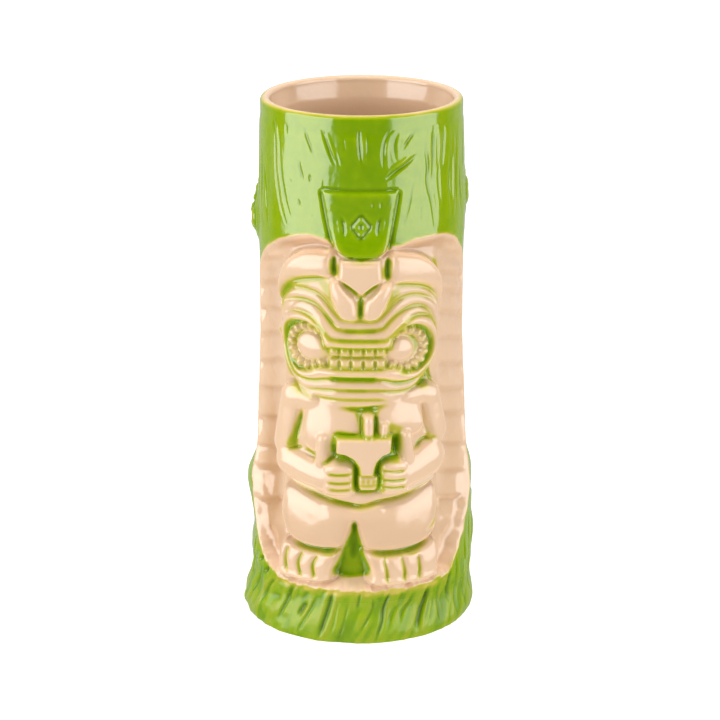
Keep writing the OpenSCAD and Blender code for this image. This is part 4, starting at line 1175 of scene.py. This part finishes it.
def carve_ledge(sheet):
    """The bare-looking sill under the feet, and the olive fringe where the green starts."""
    S, Z = sheet.S, sheet.Z
    middle = ramp(np.abs(S), 34, 26)
    sheet.R += middle * 0.9 * bell((Z - 21.6) / 2.6)
    # runs of thin glaze below the sill
    fringe = bell((Z - 18.8) / 2.3) * ramp(np.abs(S), 36, 22)
    strand = 0.5 + 0.8 * noise(S, Z, 1.9, 9, 71, 2, 0.3)
    thin = np.clip(fringe * (0.5 + strand), 0, 1) * ramp(sheet.glaze, 1.5, 1.0)
    sheet.glaze = mix(sheet.glaze, np.minimum(sheet.glaze, 0.34), thin)


def carve_stray_green(sheet):
    """Glaze that the sponge left in the niche's corners."""
    patch(sheet, [(26.6, 131), (28.6, 130), (29.6, 127), (30, 123.6), (28.4, 125.4),
                  (27.4, 128)], 0.5, 1.0)
    stains(sheet, [
        ([(9.6, 135.4), (15, 135.3), (20, 133.6), (24.4, 131.2), (27, 128.4)], 0.75, 0.42, 0.2),
        ([(-9.6, 136.1), (-15, 136.4), (-20, 135.1), (-25, 132.2)], 0.75, 0.4, 0.2),
        ([(-29, 129.4), (-30, 127.6)], 0.9, 0.35),
        ([(-12.6, 136.6), (-9.8, 136)], 0.7, 0.6)])
    for outline, glaze, soft in (
            ([(-34.6, 105.4), (-31.6, 105), (-31, 103), (-34, 102.6)], 0.45, 0.9),
            ([(-30.4, 96.6), (-28.6, 96.6), (-26.4, 93), (-24.4, 90), (-27.4, 90.8),
              (-29.6, 93.4)], 0.5, 1.0),
            ([(-25.6, 90.4), (-22, 89.6), (-18.6, 87), (-21, 86), (-24, 88)], 0.4, 1.3)):
        patch(sheet, outline, glaze, soft)
    for points in ([(24.4, 97), (25, 93.4), (26, 90), (28, 87.6)],
                   [(23.4, 94.6), (23, 91), (20.4, 88.8)],
                   [(21, 92.4), (20.6, 90), (18.4, 88.6)],
                   [(25, 96), (23.8, 92.6), (23.6, 89)]):
        groove(sheet, points, 0.8, 0.5, 0.85, 0.3)
    patch(sheet, [(20, 92), (24, 95), (25.6, 92), (24, 89), (20, 88)], 0.5, 1.2)
    stains(sheet, [([(28.2, 110), (28.6, 104), (28, 99)], 0.8, 0.4),
                   ([(28.6, 58.6), (30, 57), (31.6, 56)], 0.9, 0.4),
                   ([(-31, 57.4), (-28.6, 56.4)], 1.0, 0.3),
                   ([(-27, 54.8), (-22, 54.2), (-17, 53.2)], 0.6, 0.4)])


def sponge(sheet):
    """The green was wiped off the idol with a sponge: what is left has soft edges."""
    soft = sheet.glaze.copy()
    soften(soft, 3)
    soft = np.where(soft > 0.5, 0.5 + (soft - 0.5) * 0.62, soft)
    wiped = ramp(niche_depth(sheet), 0.2, 1.2) * (sheet.label != LABEL["forehead_plaque"])
    sheet.glaze = mix(sheet.glaze, soft, wiped)


def carve(sheet):
    """All of the carving, in the order that a carver would take it."""
    S, Z = sheet.S, sheet.Z
    front = sheet.s[0] < 0
    sheet.label[:] = LABEL["bark_front" if front else "bark_back"]
    carve_stump(sheet)
    carve_bark_back(sheet)
    carve_bark_front(sheet)
    carve_roots(sheet)
    sheet.label[Z < ROOT_TOP] = LABEL["root_front" if front else "root_back"]
    burl(sheet, -QUARTER, 139, 4.6, 2.7)
    burl(sheet, -QUARTER - 1, 147, 2.8, 1.0)
    burl(sheet, QUARTER, 148, 4.6, 1.3)
    if front:
        carve_niche(sheet)
        carve_body(sheet)
        carve_face(sheet)
        carve_plaque(sheet)
        carve_legs(sheet)
        carve_ledge(sheet)
        carve_stray_green(sheet)
        sponge(sheet)
    # the hand's tremor, and an even minimum of clay over the cup
    sheet.R += 0.05 * noise(S, Z, 4, 4, 83, 2)
    sheet.R = np.maximum(sheet.R, np.where(Z < FOOT_CLEAR + 1, FOOT_SEAT + 0.6, BED + 0.5))


def soften(field, passes):
    """Rounds a field by a few passes of a small blur, as thick glaze rounds an edge."""
    for _ in range(passes):
        field[1:-1] = 0.5 * field[1:-1] + 0.25 * (field[2:] + field[:-2])
        field[:, 1:-1] = 0.5 * field[:, 1:-1] + 0.25 * (field[:, 2:] + field[:, :-2])


BACK_COLUMNS, BACK_ROWS = 214, 348
FRONT_COLUMNS, FRONT_ROWS = 2 * BACK_COLUMNS, 2 * BACK_ROWS
CREASE = 0.6                       # how strongly the glaze gathers

front_sheet = Relief(-QUARTER, QUARTER, FRONT_COLUMNS, FRONT_ROWS)
back_sheet = Relief(QUARTER, 3 * QUARTER, BACK_COLUMNS, BACK_ROWS)


def add_creases(sheet, reach, strength):
    """Glaze runs off the high places and gathers in the low ones."""
    blurred = sheet.R.copy()
    soften(blurred, reach)
    low = np.clip(blurred - sheet.R, -1.0, 1.0)
    green = ramp(sheet.glaze, 0.3, 0.9)
    sheet.glaze += green * strength * low


for sheet, passes, reach in ((front_sheet, 3, 40), (back_sheet, 0, 10)):
    carve(sheet)
    soften(sheet.R, passes)
    soften(sheet.glaze, 1)
    add_creases(sheet, reach, CREASE)

# where the sheets meet, the front's extra points lie midway between their neighbours
for edge in (0, -1):
    for field, back in ((front_sheet.R, back_sheet.R), (front_sheet.glaze, back_sheet.glaze)):
        shared = (field[::2, edge] + back[:, -1 - edge]) / 2
        field[::2, edge] = shared
        back[:, -1 - edge] = shared
        field[1::2, edge] = (shared[:-1] + shared[1:]) / 2

# ---------------------------------------------------------------- cutting into pieces

BLOCKS_ROUND = BACK_COLUMNS * 2


def neighbours(grid, edge):
    """The grid moved one step each way: left and right wrap, up and down end in edge."""
    down = np.vstack([np.full((1, grid.shape[1]), edge, grid.dtype), grid[:-1]])
    up = np.vstack([grid[1:], np.full((1, grid.shape[1]), edge, grid.dtype)])
    return np.roll(grid, 1, 1), np.roll(grid, -1, 1), down, up


def box_sum(grid):
    """Sum over each block and the eight round it."""
    total = grid + np.roll(grid, 1, 1) + np.roll(grid, -1, 1)
    out = total.copy()
    out[1:] += total[:-1]
    out[:-1] += total[1:]
    return out


def vote(blocks, allowed):
    """Each block takes the label most common round it among the allowed blocks."""
    best = np.full(blocks.shape, -1.0)
    out = blocks.copy()
    for name in np.unique(blocks):
        mine = (blocks == name) & allowed
        count = box_sum(mine.astype(float)) + 0.5 * mine
        better = (count > best) & (count > 0)
        best = np.where(better, count, best)
        out = np.where(better, name, out)
    return out


def islands(blocks):
    """A number for every connected run of blocks with one label."""
    ids = np.arange(blocks.size).reshape(blocks.shape)
    while True:
        before = ids
        for labels, numbers in zip(neighbours(blocks, -1), neighbours(ids, 0)):
            ids = np.where(labels == blocks, np.minimum(ids, numbers), ids)
        for _ in range(2):          # each number jumps to the one that its block has found
            ids = ids.ravel()[ids]
        if (ids == before).all():
            return ids


def clean_blocks(blocks, smallest):
    """Rounds the pieces' outlines, and gives specks and loose crumbs to a neighbour."""
    everywhere = np.ones(blocks.shape, bool)
    for _ in range(2):
        blocks = vote(blocks, everywhere)
    for _ in range(12):
        ids = islands(blocks)
        sizes = np.bincount(ids.ravel(), minlength=blocks.size)
        small = sizes[ids] < smallest
        if not small.any():
            break
        voted = vote(blocks, ~small)
        blocks = np.where(small, voted, blocks)
    # no piece may meet itself or cross another at a corner only
    for _ in range(30):
        left, _, down, _ = neighbours(blocks, -1)
        corner = neighbours(left, -1)[2]
        touch = (corner == blocks) & (left != blocks) & (down != blocks)
        cross = (left == down) & (corner != left) & (blocks != left)
        touch[0] = False
        cross[0] = False
        if not (touch.any() or cross.any()):
            break
        blocks = np.where(touch | cross, left, blocks)
    return blocks


def smooth_borders(blocks):
    """Moves of the block corners, in steps of the grid, that smooth the pieces' outlines."""
    rows, columns = blocks.shape
    upright = np.zeros((rows + 1, columns), bool)       # edge from a corner to the one above
    upright[:rows] = blocks != np.roll(blocks, 1, 1)
    level = np.ones((rows + 1, columns), bool)          # edge from a corner to the next right
    level[1:rows] = blocks[1:] != blocks[:-1]
    links = [(level, 0, 1), (np.roll(level, 1, 1), 0, -1), (upright, 1, 0),
             (np.vstack([np.zeros((1, columns), bool), upright[:-1]]), -1, 0)]
    count = sum(link.astype(int) for link, _, _ in links)
    border = count > 0
    move = np.zeros((rows + 1, columns, 2))
    for _ in range(5):
        total = np.zeros(move.shape)
        for link, up, right in links:
            there = np.roll(move, (-up, -right), (0, 1)) + (right, up)
            total += np.where(link[..., None], there, 0)
        mean = total / np.maximum(count, 1)[..., None]
        move = np.where(border[..., None], 0.45 * move + 0.55 * mean, move)
        move[[0, -1], :, :] = 0
    for _ in range(8):
        shifts = ((1, 0), (-1, 0), (1, 1), (-1, 1))
        beside = sum(np.roll(move, shift, axis) for shift, axis in shifts)
        move = np.where(border[..., None], move, beside / 4)
        move[[0, -1], :, :] = 0
    return move


def sample(field, row, column):
    """A field at fractional rows and columns."""
    row = np.clip(row, 0, field.shape[0] - 1.001)
    column = np.clip(column, 0, field.shape[1] - 1.001)
    r, c = row.astype(int), column.astype(int)
    fr, fc = row - r, column - c
    below = mix(field[r, c], field[r, c + 1], fc)
    above = mix(field[r + 1, c], field[r + 1, c + 1], fc)
    return mix(below, above, fr)


def corner_points(sheet, row, column):
    """Columns of s, z, R and glaze at fractional rows and columns of a sheet."""
    s = sheet.s[0] + column * (sheet.s[1] - sheet.s[0])
    z = sheet.z[0] + row * (sheet.z[1] - sheet.z[0])
    return [s, z, sample(sheet.R, row, column), sample(sheet.glaze, row, column)]


SMALLEST = 40                      # blocks in the smallest patch that stays a piece
blocks = np.hstack([front_sheet.label[1::2, 1::2], back_sheet.label[:-1, 1:]])
blocks = clean_blocks(blocks, SMALLEST)
move = smooth_borders(blocks)
move[:, [0, BACK_COLUMNS], 0] = 0   # the mould's parting stays straight

fine_move = np.zeros((FRONT_ROWS + 1, FRONT_COLUMNS + 1, 2))
coarse = move[:, :BACK_COLUMNS + 1]
fine_move[::2, ::2] = coarse
fine_move[1::2, ::2] = (coarse[1:] + coarse[:-1]) / 2
fine_move[:, 1::2] = (fine_move[:, :-1:2] + fine_move[:, 2::2]) / 2
grid_r, grid_c = np.mgrid[0:FRONT_ROWS + 1, 0:FRONT_COLUMNS + 1].astype(float)
front_points = corner_points(front_sheet, grid_r + 2 * fine_move[..., 1],
                             grid_c + 2 * fine_move[..., 0])
grid_r, grid_c = np.mgrid[0:BACK_ROWS + 1, 0:BACK_COLUMNS + 1].astype(float)
back_move = np.concatenate([move[:, BACK_COLUMNS:], move[:, :1]], 1)
back_points = corner_points(back_sheet, grid_r + back_move[..., 1], grid_c + back_move[..., 0])

# one list of outer points: all of the front's, then the back's inner columns
front_index = np.arange(front_points[0].size).reshape(front_points[0].shape)
back_index = np.zeros((BACK_ROWS + 1, BACK_COLUMNS + 1), int)
inner_count = (BACK_ROWS + 1) * (BACK_COLUMNS - 1)
back_index[:, 1:-1] = front_index.size + np.arange(inner_count).reshape(BACK_ROWS + 1, -1)
back_index[:, 0] = front_index[::2, -1]
back_index[:, -1] = front_index[::2, 0]
s_all, z_all, r_all, glaze_all = (
    np.concatenate([f.ravel(), b[:, 1:-1].ravel()]) for f, b in zip(front_points, back_points))

# inner points, one below each block corner
corner_index = np.hstack([front_index[::2, :-1:2], back_index[:, :-1]])
outer_count = len(s_all)
inner_index = outer_count + np.arange(corner_index.size).reshape(corner_index.shape)
corner_s, corner_z = s_all[corner_index].ravel(), z_all[corner_index].ravel()
corner_r = np.where(corner_z < FOOT_CLEAR, FOOT_SEAT, BED)
s_all = np.concatenate([s_all, corner_s])
z_all = np.concatenate([z_all, corner_z])
r_all = np.concatenate([r_all, corner_r])
glaze_all = np.concatenate([glaze_all, np.zeros(len(corner_s))])
turn = s_all / SWEEP
points_all = np.stack([r_all * np.sin(turn), -r_all * np.cos(turn), z_all], 1) * MM


def quad(index, rows, columns):
    """The four-cornered faces up and to the right of some grid points."""
    return np.stack([index[rows, columns], index[rows, columns + 1],
                     index[rows + 1, columns + 1], index[rows + 1, columns]], -1)


def outer_faces():
    """Lists of (faces, block row, block column) that cover the relief."""
    found = []
    r, c = np.mgrid[0:FRONT_ROWS, 0:FRONT_COLUMNS].reshape(2, -1)
    found.append((quad(front_index, r, c), r // 2, c // 2))
    r, c = np.mgrid[0:BACK_ROWS, 1:BACK_COLUMNS - 1].reshape(2, -1)
    found.append((quad(back_index, r, c), r, c + BACK_COLUMNS))
    r = np.arange(BACK_ROWS)
    first = quad(back_index, r, np.zeros(BACK_ROWS, int))
    first = np.concatenate([first, front_index[1::2, -1][:, None]], 1)
    found.append((first, r, np.full(BACK_ROWS, BACK_COLUMNS)))
    last = quad(back_index, r, np.full(BACK_ROWS, BACK_COLUMNS - 1))
    last = np.concatenate([last[:, :2], front_index[1::2, 0][:, None], last[:, 2:]], 1)
    found.append((last, r, np.full(BACK_ROWS, 2 * BACK_COLUMNS - 1)))
    return found


def side_faces():
    """Lists of (faces, block row, block column) for the walls between pieces."""
    found = []

    def add(corners, extra, fine, r, c, flip):
        """Walls with the corner number extra only where the front's finer grid has it."""
        plain = corners[:extra] + corners[extra + 1:]
        for ring, here in ((corners, fine), (plain, ~fine)):
            ring = ring[::-1] if flip else ring
            found.append((np.stack(ring, -1)[here], r[here], c[here]))

    left, right, down, up = neighbours(blocks, -1)
    for other, side in ((left, 0), (right, 1)):
        r, c = np.where(other != blocks)
        at = (c + side) % BLOCKS_ROUND
        fine = at <= BACK_COLUMNS
        middle = np.zeros(len(r), int)
        middle[fine] = front_index[2 * r[fine] + 1, 2 * at[fine]]
        add([inner_index[r, at], corner_index[r, at], middle, corner_index[r + 1, at],
             inner_index[r + 1, at]], 2, fine, r, c, side)
    for other, side in ((down, 0), (up, 1)):
        r, c = np.where(other != blocks)
        at, after = r + side, (c + 1) % BLOCKS_ROUND
        fine = c < BACK_COLUMNS
        middle = np.zeros(len(r), int)
        middle[fine] = front_index[2 * at[fine], 2 * c[fine] + 1]
        add([corner_index[at, c], middle, corner_index[at, after], inner_index[at, after],
             inner_index[at, c]], 1, fine, r, c, not side)
    return found


def inner_faces():
    """The same kind of list for the backs of the pieces, against the cup."""
    r, c = np.mgrid[0:BACK_ROWS, 0:BLOCKS_ROUND].reshape(2, -1)
    after = (c + 1) % BLOCKS_ROUND
    face = np.stack([inner_index[r, c], inner_index[r + 1, c], inner_index[r + 1, after],
                     inner_index[r, after]], -1)
    return [(face, r, c)]


def outer_normals(groups):
    """Smooth normals of the outer points, from every outer face round them."""
    normals = np.zeros(points_all.shape)
    for faces, _, _ in groups:
        p = points_all[faces]
        n = np.cross(p[:, 2] - p[:, 0], p[:, 3] - p[:, 1])
        for k in range(faces.shape[1]):
            np.add.at(normals, faces[:, k], n)
    length = np.linalg.norm(normals, axis=1, keepdims=True)
    return normals / np.maximum(length, 1e-12)


def set_glaze(mesh, values):
    """Stores the thickness of the green glaze at each point, with the painted shade and painted
    light that it carries.
    """
    layer = mesh.attributes.new("glaze", "FLOAT", "POINT")
    layer.data.foreach_set("value", values.astype(np.float32))


def fill_mesh(name, points, faces_by_size, smooth_flags, corner_normals, corner_uv, glaze):
    """Makes a mesh from arrays: lists of equal-sized faces, one after the other."""
    mesh = bpy.data.meshes.new(name)
    loops = np.concatenate([f.ravel() for f in faces_by_size])
    sizes = np.concatenate([np.full(len(f), f.shape[1]) for f in faces_by_size])
    starts = np.concatenate([[0], np.cumsum(sizes)[:-1]])
    mesh.vertices.add(len(points))
    mesh.vertices.foreach_set("co", points.astype(np.float32).ravel())
    mesh.loops.add(len(loops))
    mesh.loops.foreach_set("vertex_index", loops.astype(np.int32))
    mesh.polygons.add(len(sizes))
    mesh.polygons.foreach_set("loop_start", starts.astype(np.int32))
    mesh.polygons.foreach_set("use_smooth", smooth_flags)
    mesh.update(calc_edges=True)
    set_glaze(mesh, glaze)
    uv = mesh.uv_layers.new(name="OFBake")
    uv.data.foreach_set("uv", corner_uv.astype(np.float32).ravel())
    mesh.normals_split_custom_set(corner_normals)
    return mesh


def cut_pieces():
    """One closed mesh for each CAD node of the relief."""
    outer, inner, walls = outer_faces(), inner_faces(), side_faces()
    normals = outer_normals(outer)
    made = {}
    for name in PIECES:
        number = LABEL[name]
        chosen, kinds = [], []
        for kind, groups in ((1, outer), (0, inner), (0, walls)):
            for faces, r, c in groups:
                mine = faces[blocks[r, c] == number]
                if len(mine):
                    chosen.append(mine)
                    kinds.append(kind)
        if not chosen:
            continue
        used, flat = np.unique(np.concatenate([f.ravel() for f in chosen]), return_inverse=True)
        split = np.split(flat, np.cumsum([f.size for f in chosen])[:-1])
        local = [x.reshape(f.shape) for x, f in zip(split, chosen)]
        smooth_flags = np.concatenate([np.full(len(f), bool(k)) for f, k in zip(chosen, kinds)])
        corner_kind = np.concatenate([np.full(f.size, k) for f, k in zip(chosen, kinds)])
        corners = used[flat]
        corner_normals = normals[corners] * corner_kind[:, None]
        s, z = s_all[corners], z_all[corners]
        first = blocks_start_s(number)
        s = (s - first + ROUND / 2) % ROUND
        s = (s - s.min()) / max(np.ptp(s), 1e-6)
        z = (z - z.min()) / max(np.ptp(z), 1e-6)
        u = np.where(corner_kind == 1, 0.004 + 0.95 * s, 0.965 + 0.03 * s)
        uv = np.stack([u, 0.004 + 0.992 * z], 1)
        made[name] = fill_mesh(name, points_all[used], local, smooth_flags, corner_normals, uv,
                               glaze_all[used])
    return made


def blocks_start_s(number):
    """The middle of a piece's spread round the mug, as an arc length."""
    columns = np.where((blocks == number).any(0))[0]
    a = (columns + 0.5) / BLOCKS_ROUND * 2 * math.pi
    middle = math.atan2(np.sin(a).sum(), np.cos(a).sum())
    return middle / (2 * math.pi) * ROUND - QUARTER


# ---------------------------------------------------------------- materials

def srgb(r, g, b):
    """A display colour from 0 to 255 as the linear one that shaders take."""
    out = []
    for value in (r, g, b):
        v = value / 255
        out.append(v / 12.92 if v <= 0.04045 else ((v + 0.055) / 1.055) ** 2.4)
    return (*out, 1.0)


GLAZE_COLOURS = [
    # thickness of green glaze, colour; below 0, the brown of the painted shade in the niche's
    # border
    (-0.50, (200, 156, 114)), (0.00, (234, 199, 165)), (0.16, (226, 198, 142)),
    (0.36, (198, 184, 70)), (0.62, (157, 167, 32)), (0.82, (142, 170, 6)),
    (1.00, (119, 155, 0)), (1.40, (102, 134, 3)), (1.90, (68, 94, 2))]
GLAZE_LOW, GLAZE_TOP = -0.5, 2.0
CREAM_GLAZE, GREEN_GLAZE = 0.1, 0.7      # glaze thin enough for cream, thick enough for green
CREAM_ROUGH, GREEN_ROUGH = 0.15, 0.12
ROOT_LOW, ROOT_HIGH = 0.015, 0.028       # the roots are duller, and change over these heights
ROOT_ROUGH = 0.28
ROOT_SHINE, SHINE = 0.24, 0.5
GLAZE_IOR = 2.0
MOTTLE = (260.0, 3.0)                    # scale and detail of the glaze's unevenness
MOTTLE_THIN, MOTTLE_SPAN = 0.85, 0.30    # its least share, and how much more it reaches
RIPPLE = (420.0, 1.0)                    # scale and detail of the ripple in the glaze
RIPPLE_STRENGTH, RIPPLE_HEIGHT = 0.12, 0.0004
CLAY_COLOURS = [(0.3, (206, 178, 148)), (0.7, (229, 206, 178))]
CLAY_ROUGH = 0.85
SAND = (900.0, 4.0)                      # scale and detail of the clay's grain
SAND_STRENGTH, SAND_HEIGHT = 0.3, 0.0002


def colour_stops(tree, value, stops, low, high):
    """A colour for each value from low to high, given as stops of value and colour."""
    node = add_node(tree, "ValToRGB", {"Fac": value})
    elements = node.color_ramp.elements
    for k, (at, colour) in enumerate(stops):
        position = (at - low) / (high - low)
        stop = elements[k] if k < 2 else elements.new(position)
        stop.position = position
        stop.color = srgb(*colour)
    return node.outputs["Color"]


def grain(tree, scale, detail):
    """Noise of a given scale over the object, from 0 to 1."""
    inputs = {"Vector": position(tree, "Object"), "Scale": scale, "Detail": detail}
    return add_node(tree, "TexNoise", inputs).outputs["Fac"]


def bumps(tree, height, strength, distance):
    """A normal roughened by a height."""
    node = add_node(tree, "Bump", {"Height": height, "Strength": strength,
                                   "Distance": distance})
    return node.outputs["Normal"]


def glaze_material(name):
    """Cream clay under a green glaze as thick as the mesh's glaze attribute says, and brown
    painted shade where the attribute is below 0.
    """
    material, tree, shader = new_material(name)
    attribute = add_node(tree, "Attribute", {})
    attribute.attribute_name = "glaze"
    thickness = attribute.outputs["Fac"]
    mottle = arithmetic(tree, "MULTIPLY_ADD", grain(tree, *MOTTLE), MOTTLE_SPAN, MOTTLE_THIN)
    thick = arithmetic(tree, "MULTIPLY", thickness, mottle)
    share = map_range(tree, thick, GLAZE_LOW, GLAZE_TOP, 0, 1)
    height = add_node(tree, "SeparateXYZ", {0: position(tree, "Object")}).outputs["Z"]
    gloss = map_range(tree, thickness, CREAM_GLAZE, GREEN_GLAZE, CREAM_ROUGH, GREEN_ROUGH)
    root = map_range(tree, height, ROOT_LOW, ROOT_HIGH, ROOT_ROUGH, 0)
    fill_inputs(shader, {
        "Base Color": colour_stops(tree, share, GLAZE_COLOURS, GLAZE_LOW, GLAZE_TOP),
        "Roughness": arithmetic(tree, "MAXIMUM", gloss, root),
        "Specular IOR Level": map_range(tree, height, ROOT_LOW, ROOT_HIGH, ROOT_SHINE, SHINE),
        "IOR": GLAZE_IOR,
        "Normal": bumps(tree, grain(tree, *RIPPLE), RIPPLE_STRENGTH, RIPPLE_HEIGHT)})
    return material


def clay_material(name):
    """Unglazed fired clay, as on the foot that stands on the kiln shelf."""
    material, tree, shader = new_material(name)
    sand = grain(tree, *SAND)
    fill_inputs(shader, {
        "Base Color": colour_stops(tree, sand, CLAY_COLOURS, 0, 1), "Roughness": CLAY_ROUGH,
        "Normal": bumps(tree, sand, SAND_STRENGTH, SAND_HEIGHT)})
    return material


MATERIALS = {slot: clay_material(slot) if slot == "bare_clay" else glaze_material(slot)
             for slot in sorted(set(SLOT.values()))}

# ---------------------------------------------------------------- the cup and its foot

def arc(centre_r, centre_z, radius, a, b, steps):
    """Profile points on an arc from angle a to angle b, in degrees."""
    angles = np.radians(np.linspace(a, b, steps + 1))
    return [(centre_r + radius * math.cos(t), centre_z + radius * math.sin(t)) for t in angles]


def straight(a, b, steps):
    """Profile points on a straight line."""
    return [(mix(a[0], b[0], k / steps), mix(a[1], b[1], k / steps)) for k in range(steps + 1)]


def lathe(name, profile, segments, sharp, closed=False, glaze_at=None):
    """Turns a profile of (radius, height) round the axis. Points at radius 0 are poles."""
    p = np.array(profile)
    rings = []
    points, s_of = [], []
    for radius, height in p:
        if radius < 1e-6:
            rings.append([len(points)] * segments)
            points.append((0, 0, height))
            s_of.append(0)
            continue
        rings.append(list(range(len(points), len(points) + segments)))
        for k in range(segments):
            a = 2 * math.pi * k / segments
            points.append((radius * math.sin(a), -radius * math.cos(a), height))
            s_of.append(a * SWEEP)
    faces = []
    uvs = []
    count = len(p)
    spans = count if closed else count - 1
    for i in range(spans):
        j = (i + 1) % count
        va, vb = i / spans, (i + 1) / spans
        for k in range(segments):
            n = (k + 1) % segments
            ua, ub = k / segments, (k + 1) / segments
            corners = [(rings[i][k], ua, va), (rings[i][n], ub, va), (rings[j][n], ub, vb),
                       (rings[j][k], ua, vb)]
            kept = []
            for corner in corners:
                if corner[0] not in [x[0] for x in kept]:
                    kept.append(corner)
            faces.append([x[0] for x in kept])
            uvs.extend((0.002 + 0.996 * x[1], 0.002 + 0.996 * x[2]) for x in kept)
    mesh = bpy.data.meshes.new(name)
    points = np.array(points)
    mesh.from_pydata(points * MM, [], faces)
    mesh.polygons.foreach_set("use_smooth", np.ones(len(faces), bool))
    mesh.set_sharp_from_angle(angle=math.radians(sharp))
    layer = mesh.uv_layers.new(name="OFBake")
    layer.data.foreach_set("uv", np.array(uvs, np.float32).ravel())
    values = np.zeros(len(points)) if glaze_at is None else glaze_at(points, np.array(s_of))
    set_glaze(mesh, values)
    return mesh


def lip_glaze(points, s):
    """Green on the outside of the lip, wiped off its top, and lighter round the sides as
    painted light; faint painted shade deeper inside the cup.
    """
    radius = np.hypot(points[:, 0], points[:, 1])
    waver = 0.2 * noise(s, 0 * s, 7, 10, 91, 2)
    green = 1 - ramp(points[:, 2] + waver, 178.6, 180.6)
    # painted light: the lip's green is lighter round the sides, as on the bark
    green = green * (1 - painted_side_light(s))
    outside = (radius > LIP_R - LIP_ROUND) & (points[:, 2] > HIGH - 0.1)
    # painted shade: the cream is tinted a little darker deeper inside the cup
    inside_painted_shade = 0.04 * ramp(points[:, 2], 172, 160) * (radius < MOUTH_R + 0.1)
    return np.where(outside, green, inside_painted_shade)


def make_cup():
    """The plain cup: outer wall, round lip that leans out inside, and floor."""
    profile = [(0, FOOT_H)] + straight((8, FOOT_H), (BED, FOOT_H), 4)
    profile += straight((BED, FOOT_H), (BED, HIGH), 24)[1:]
    profile += [(LIP_R, HIGH)]
    profile += arc(LIP_R - LIP_ROUND, MUG_H - LIP_ROUND, LIP_ROUND, 0, 180, 36)
    lean_top = (MOUTH_R + LIP_LEAN, MUG_H - LIP_ROUND)
    lean_foot = (MOUTH_R, MUG_H - LIP_ROUND - LIP_LEAN_H)
    profile += straight(lean_top, lean_foot, 6)[1:]
    profile += straight(lean_foot, (MOUTH_R, FLOOR_Z + CORNER), 40)[1:]
    profile += arc(MOUTH_R - CORNER, FLOOR_Z + CORNER, CORNER, 0, -90, 14)[1:]
    profile += straight((MOUTH_R - CORNER, FLOOR_Z), (6, FLOOR_Z), 4)[1:] + [(0, FLOOR_Z)]
    return lathe("cup_body", profile, 288, 40, glaze_at=lip_glaze)


def make_foot():
    """The bare ring that the mug stands on."""
    profile = [(FOOT_OUT, FOOT_H), (FOOT_IN, FOOT_H)]
    profile += arc(FOOT_IN + FOOT_BEVEL, FOOT_BEVEL, FOOT_BEVEL, 180, 270, 5)
    profile += arc(FOOT_OUT - FOOT_BEVEL, FOOT_BEVEL, FOOT_BEVEL, 270, 360, 5)
    return lathe("foot_ring", profile, 192, 40, closed=True)


# ---------------------------------------------------------------- assembly

meshes = cut_pieces()
meshes["cup_body"] = make_cup()
meshes["foot_ring"] = make_foot()
for node in PIECES:
    mesh = meshes[node]
    mesh.materials.append(MATERIALS[SLOT[node]])
    piece = bpy.data.objects.new("look_" + node, mesh)
    link_to_scene(piece)
    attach(piece, "root")
    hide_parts(node)
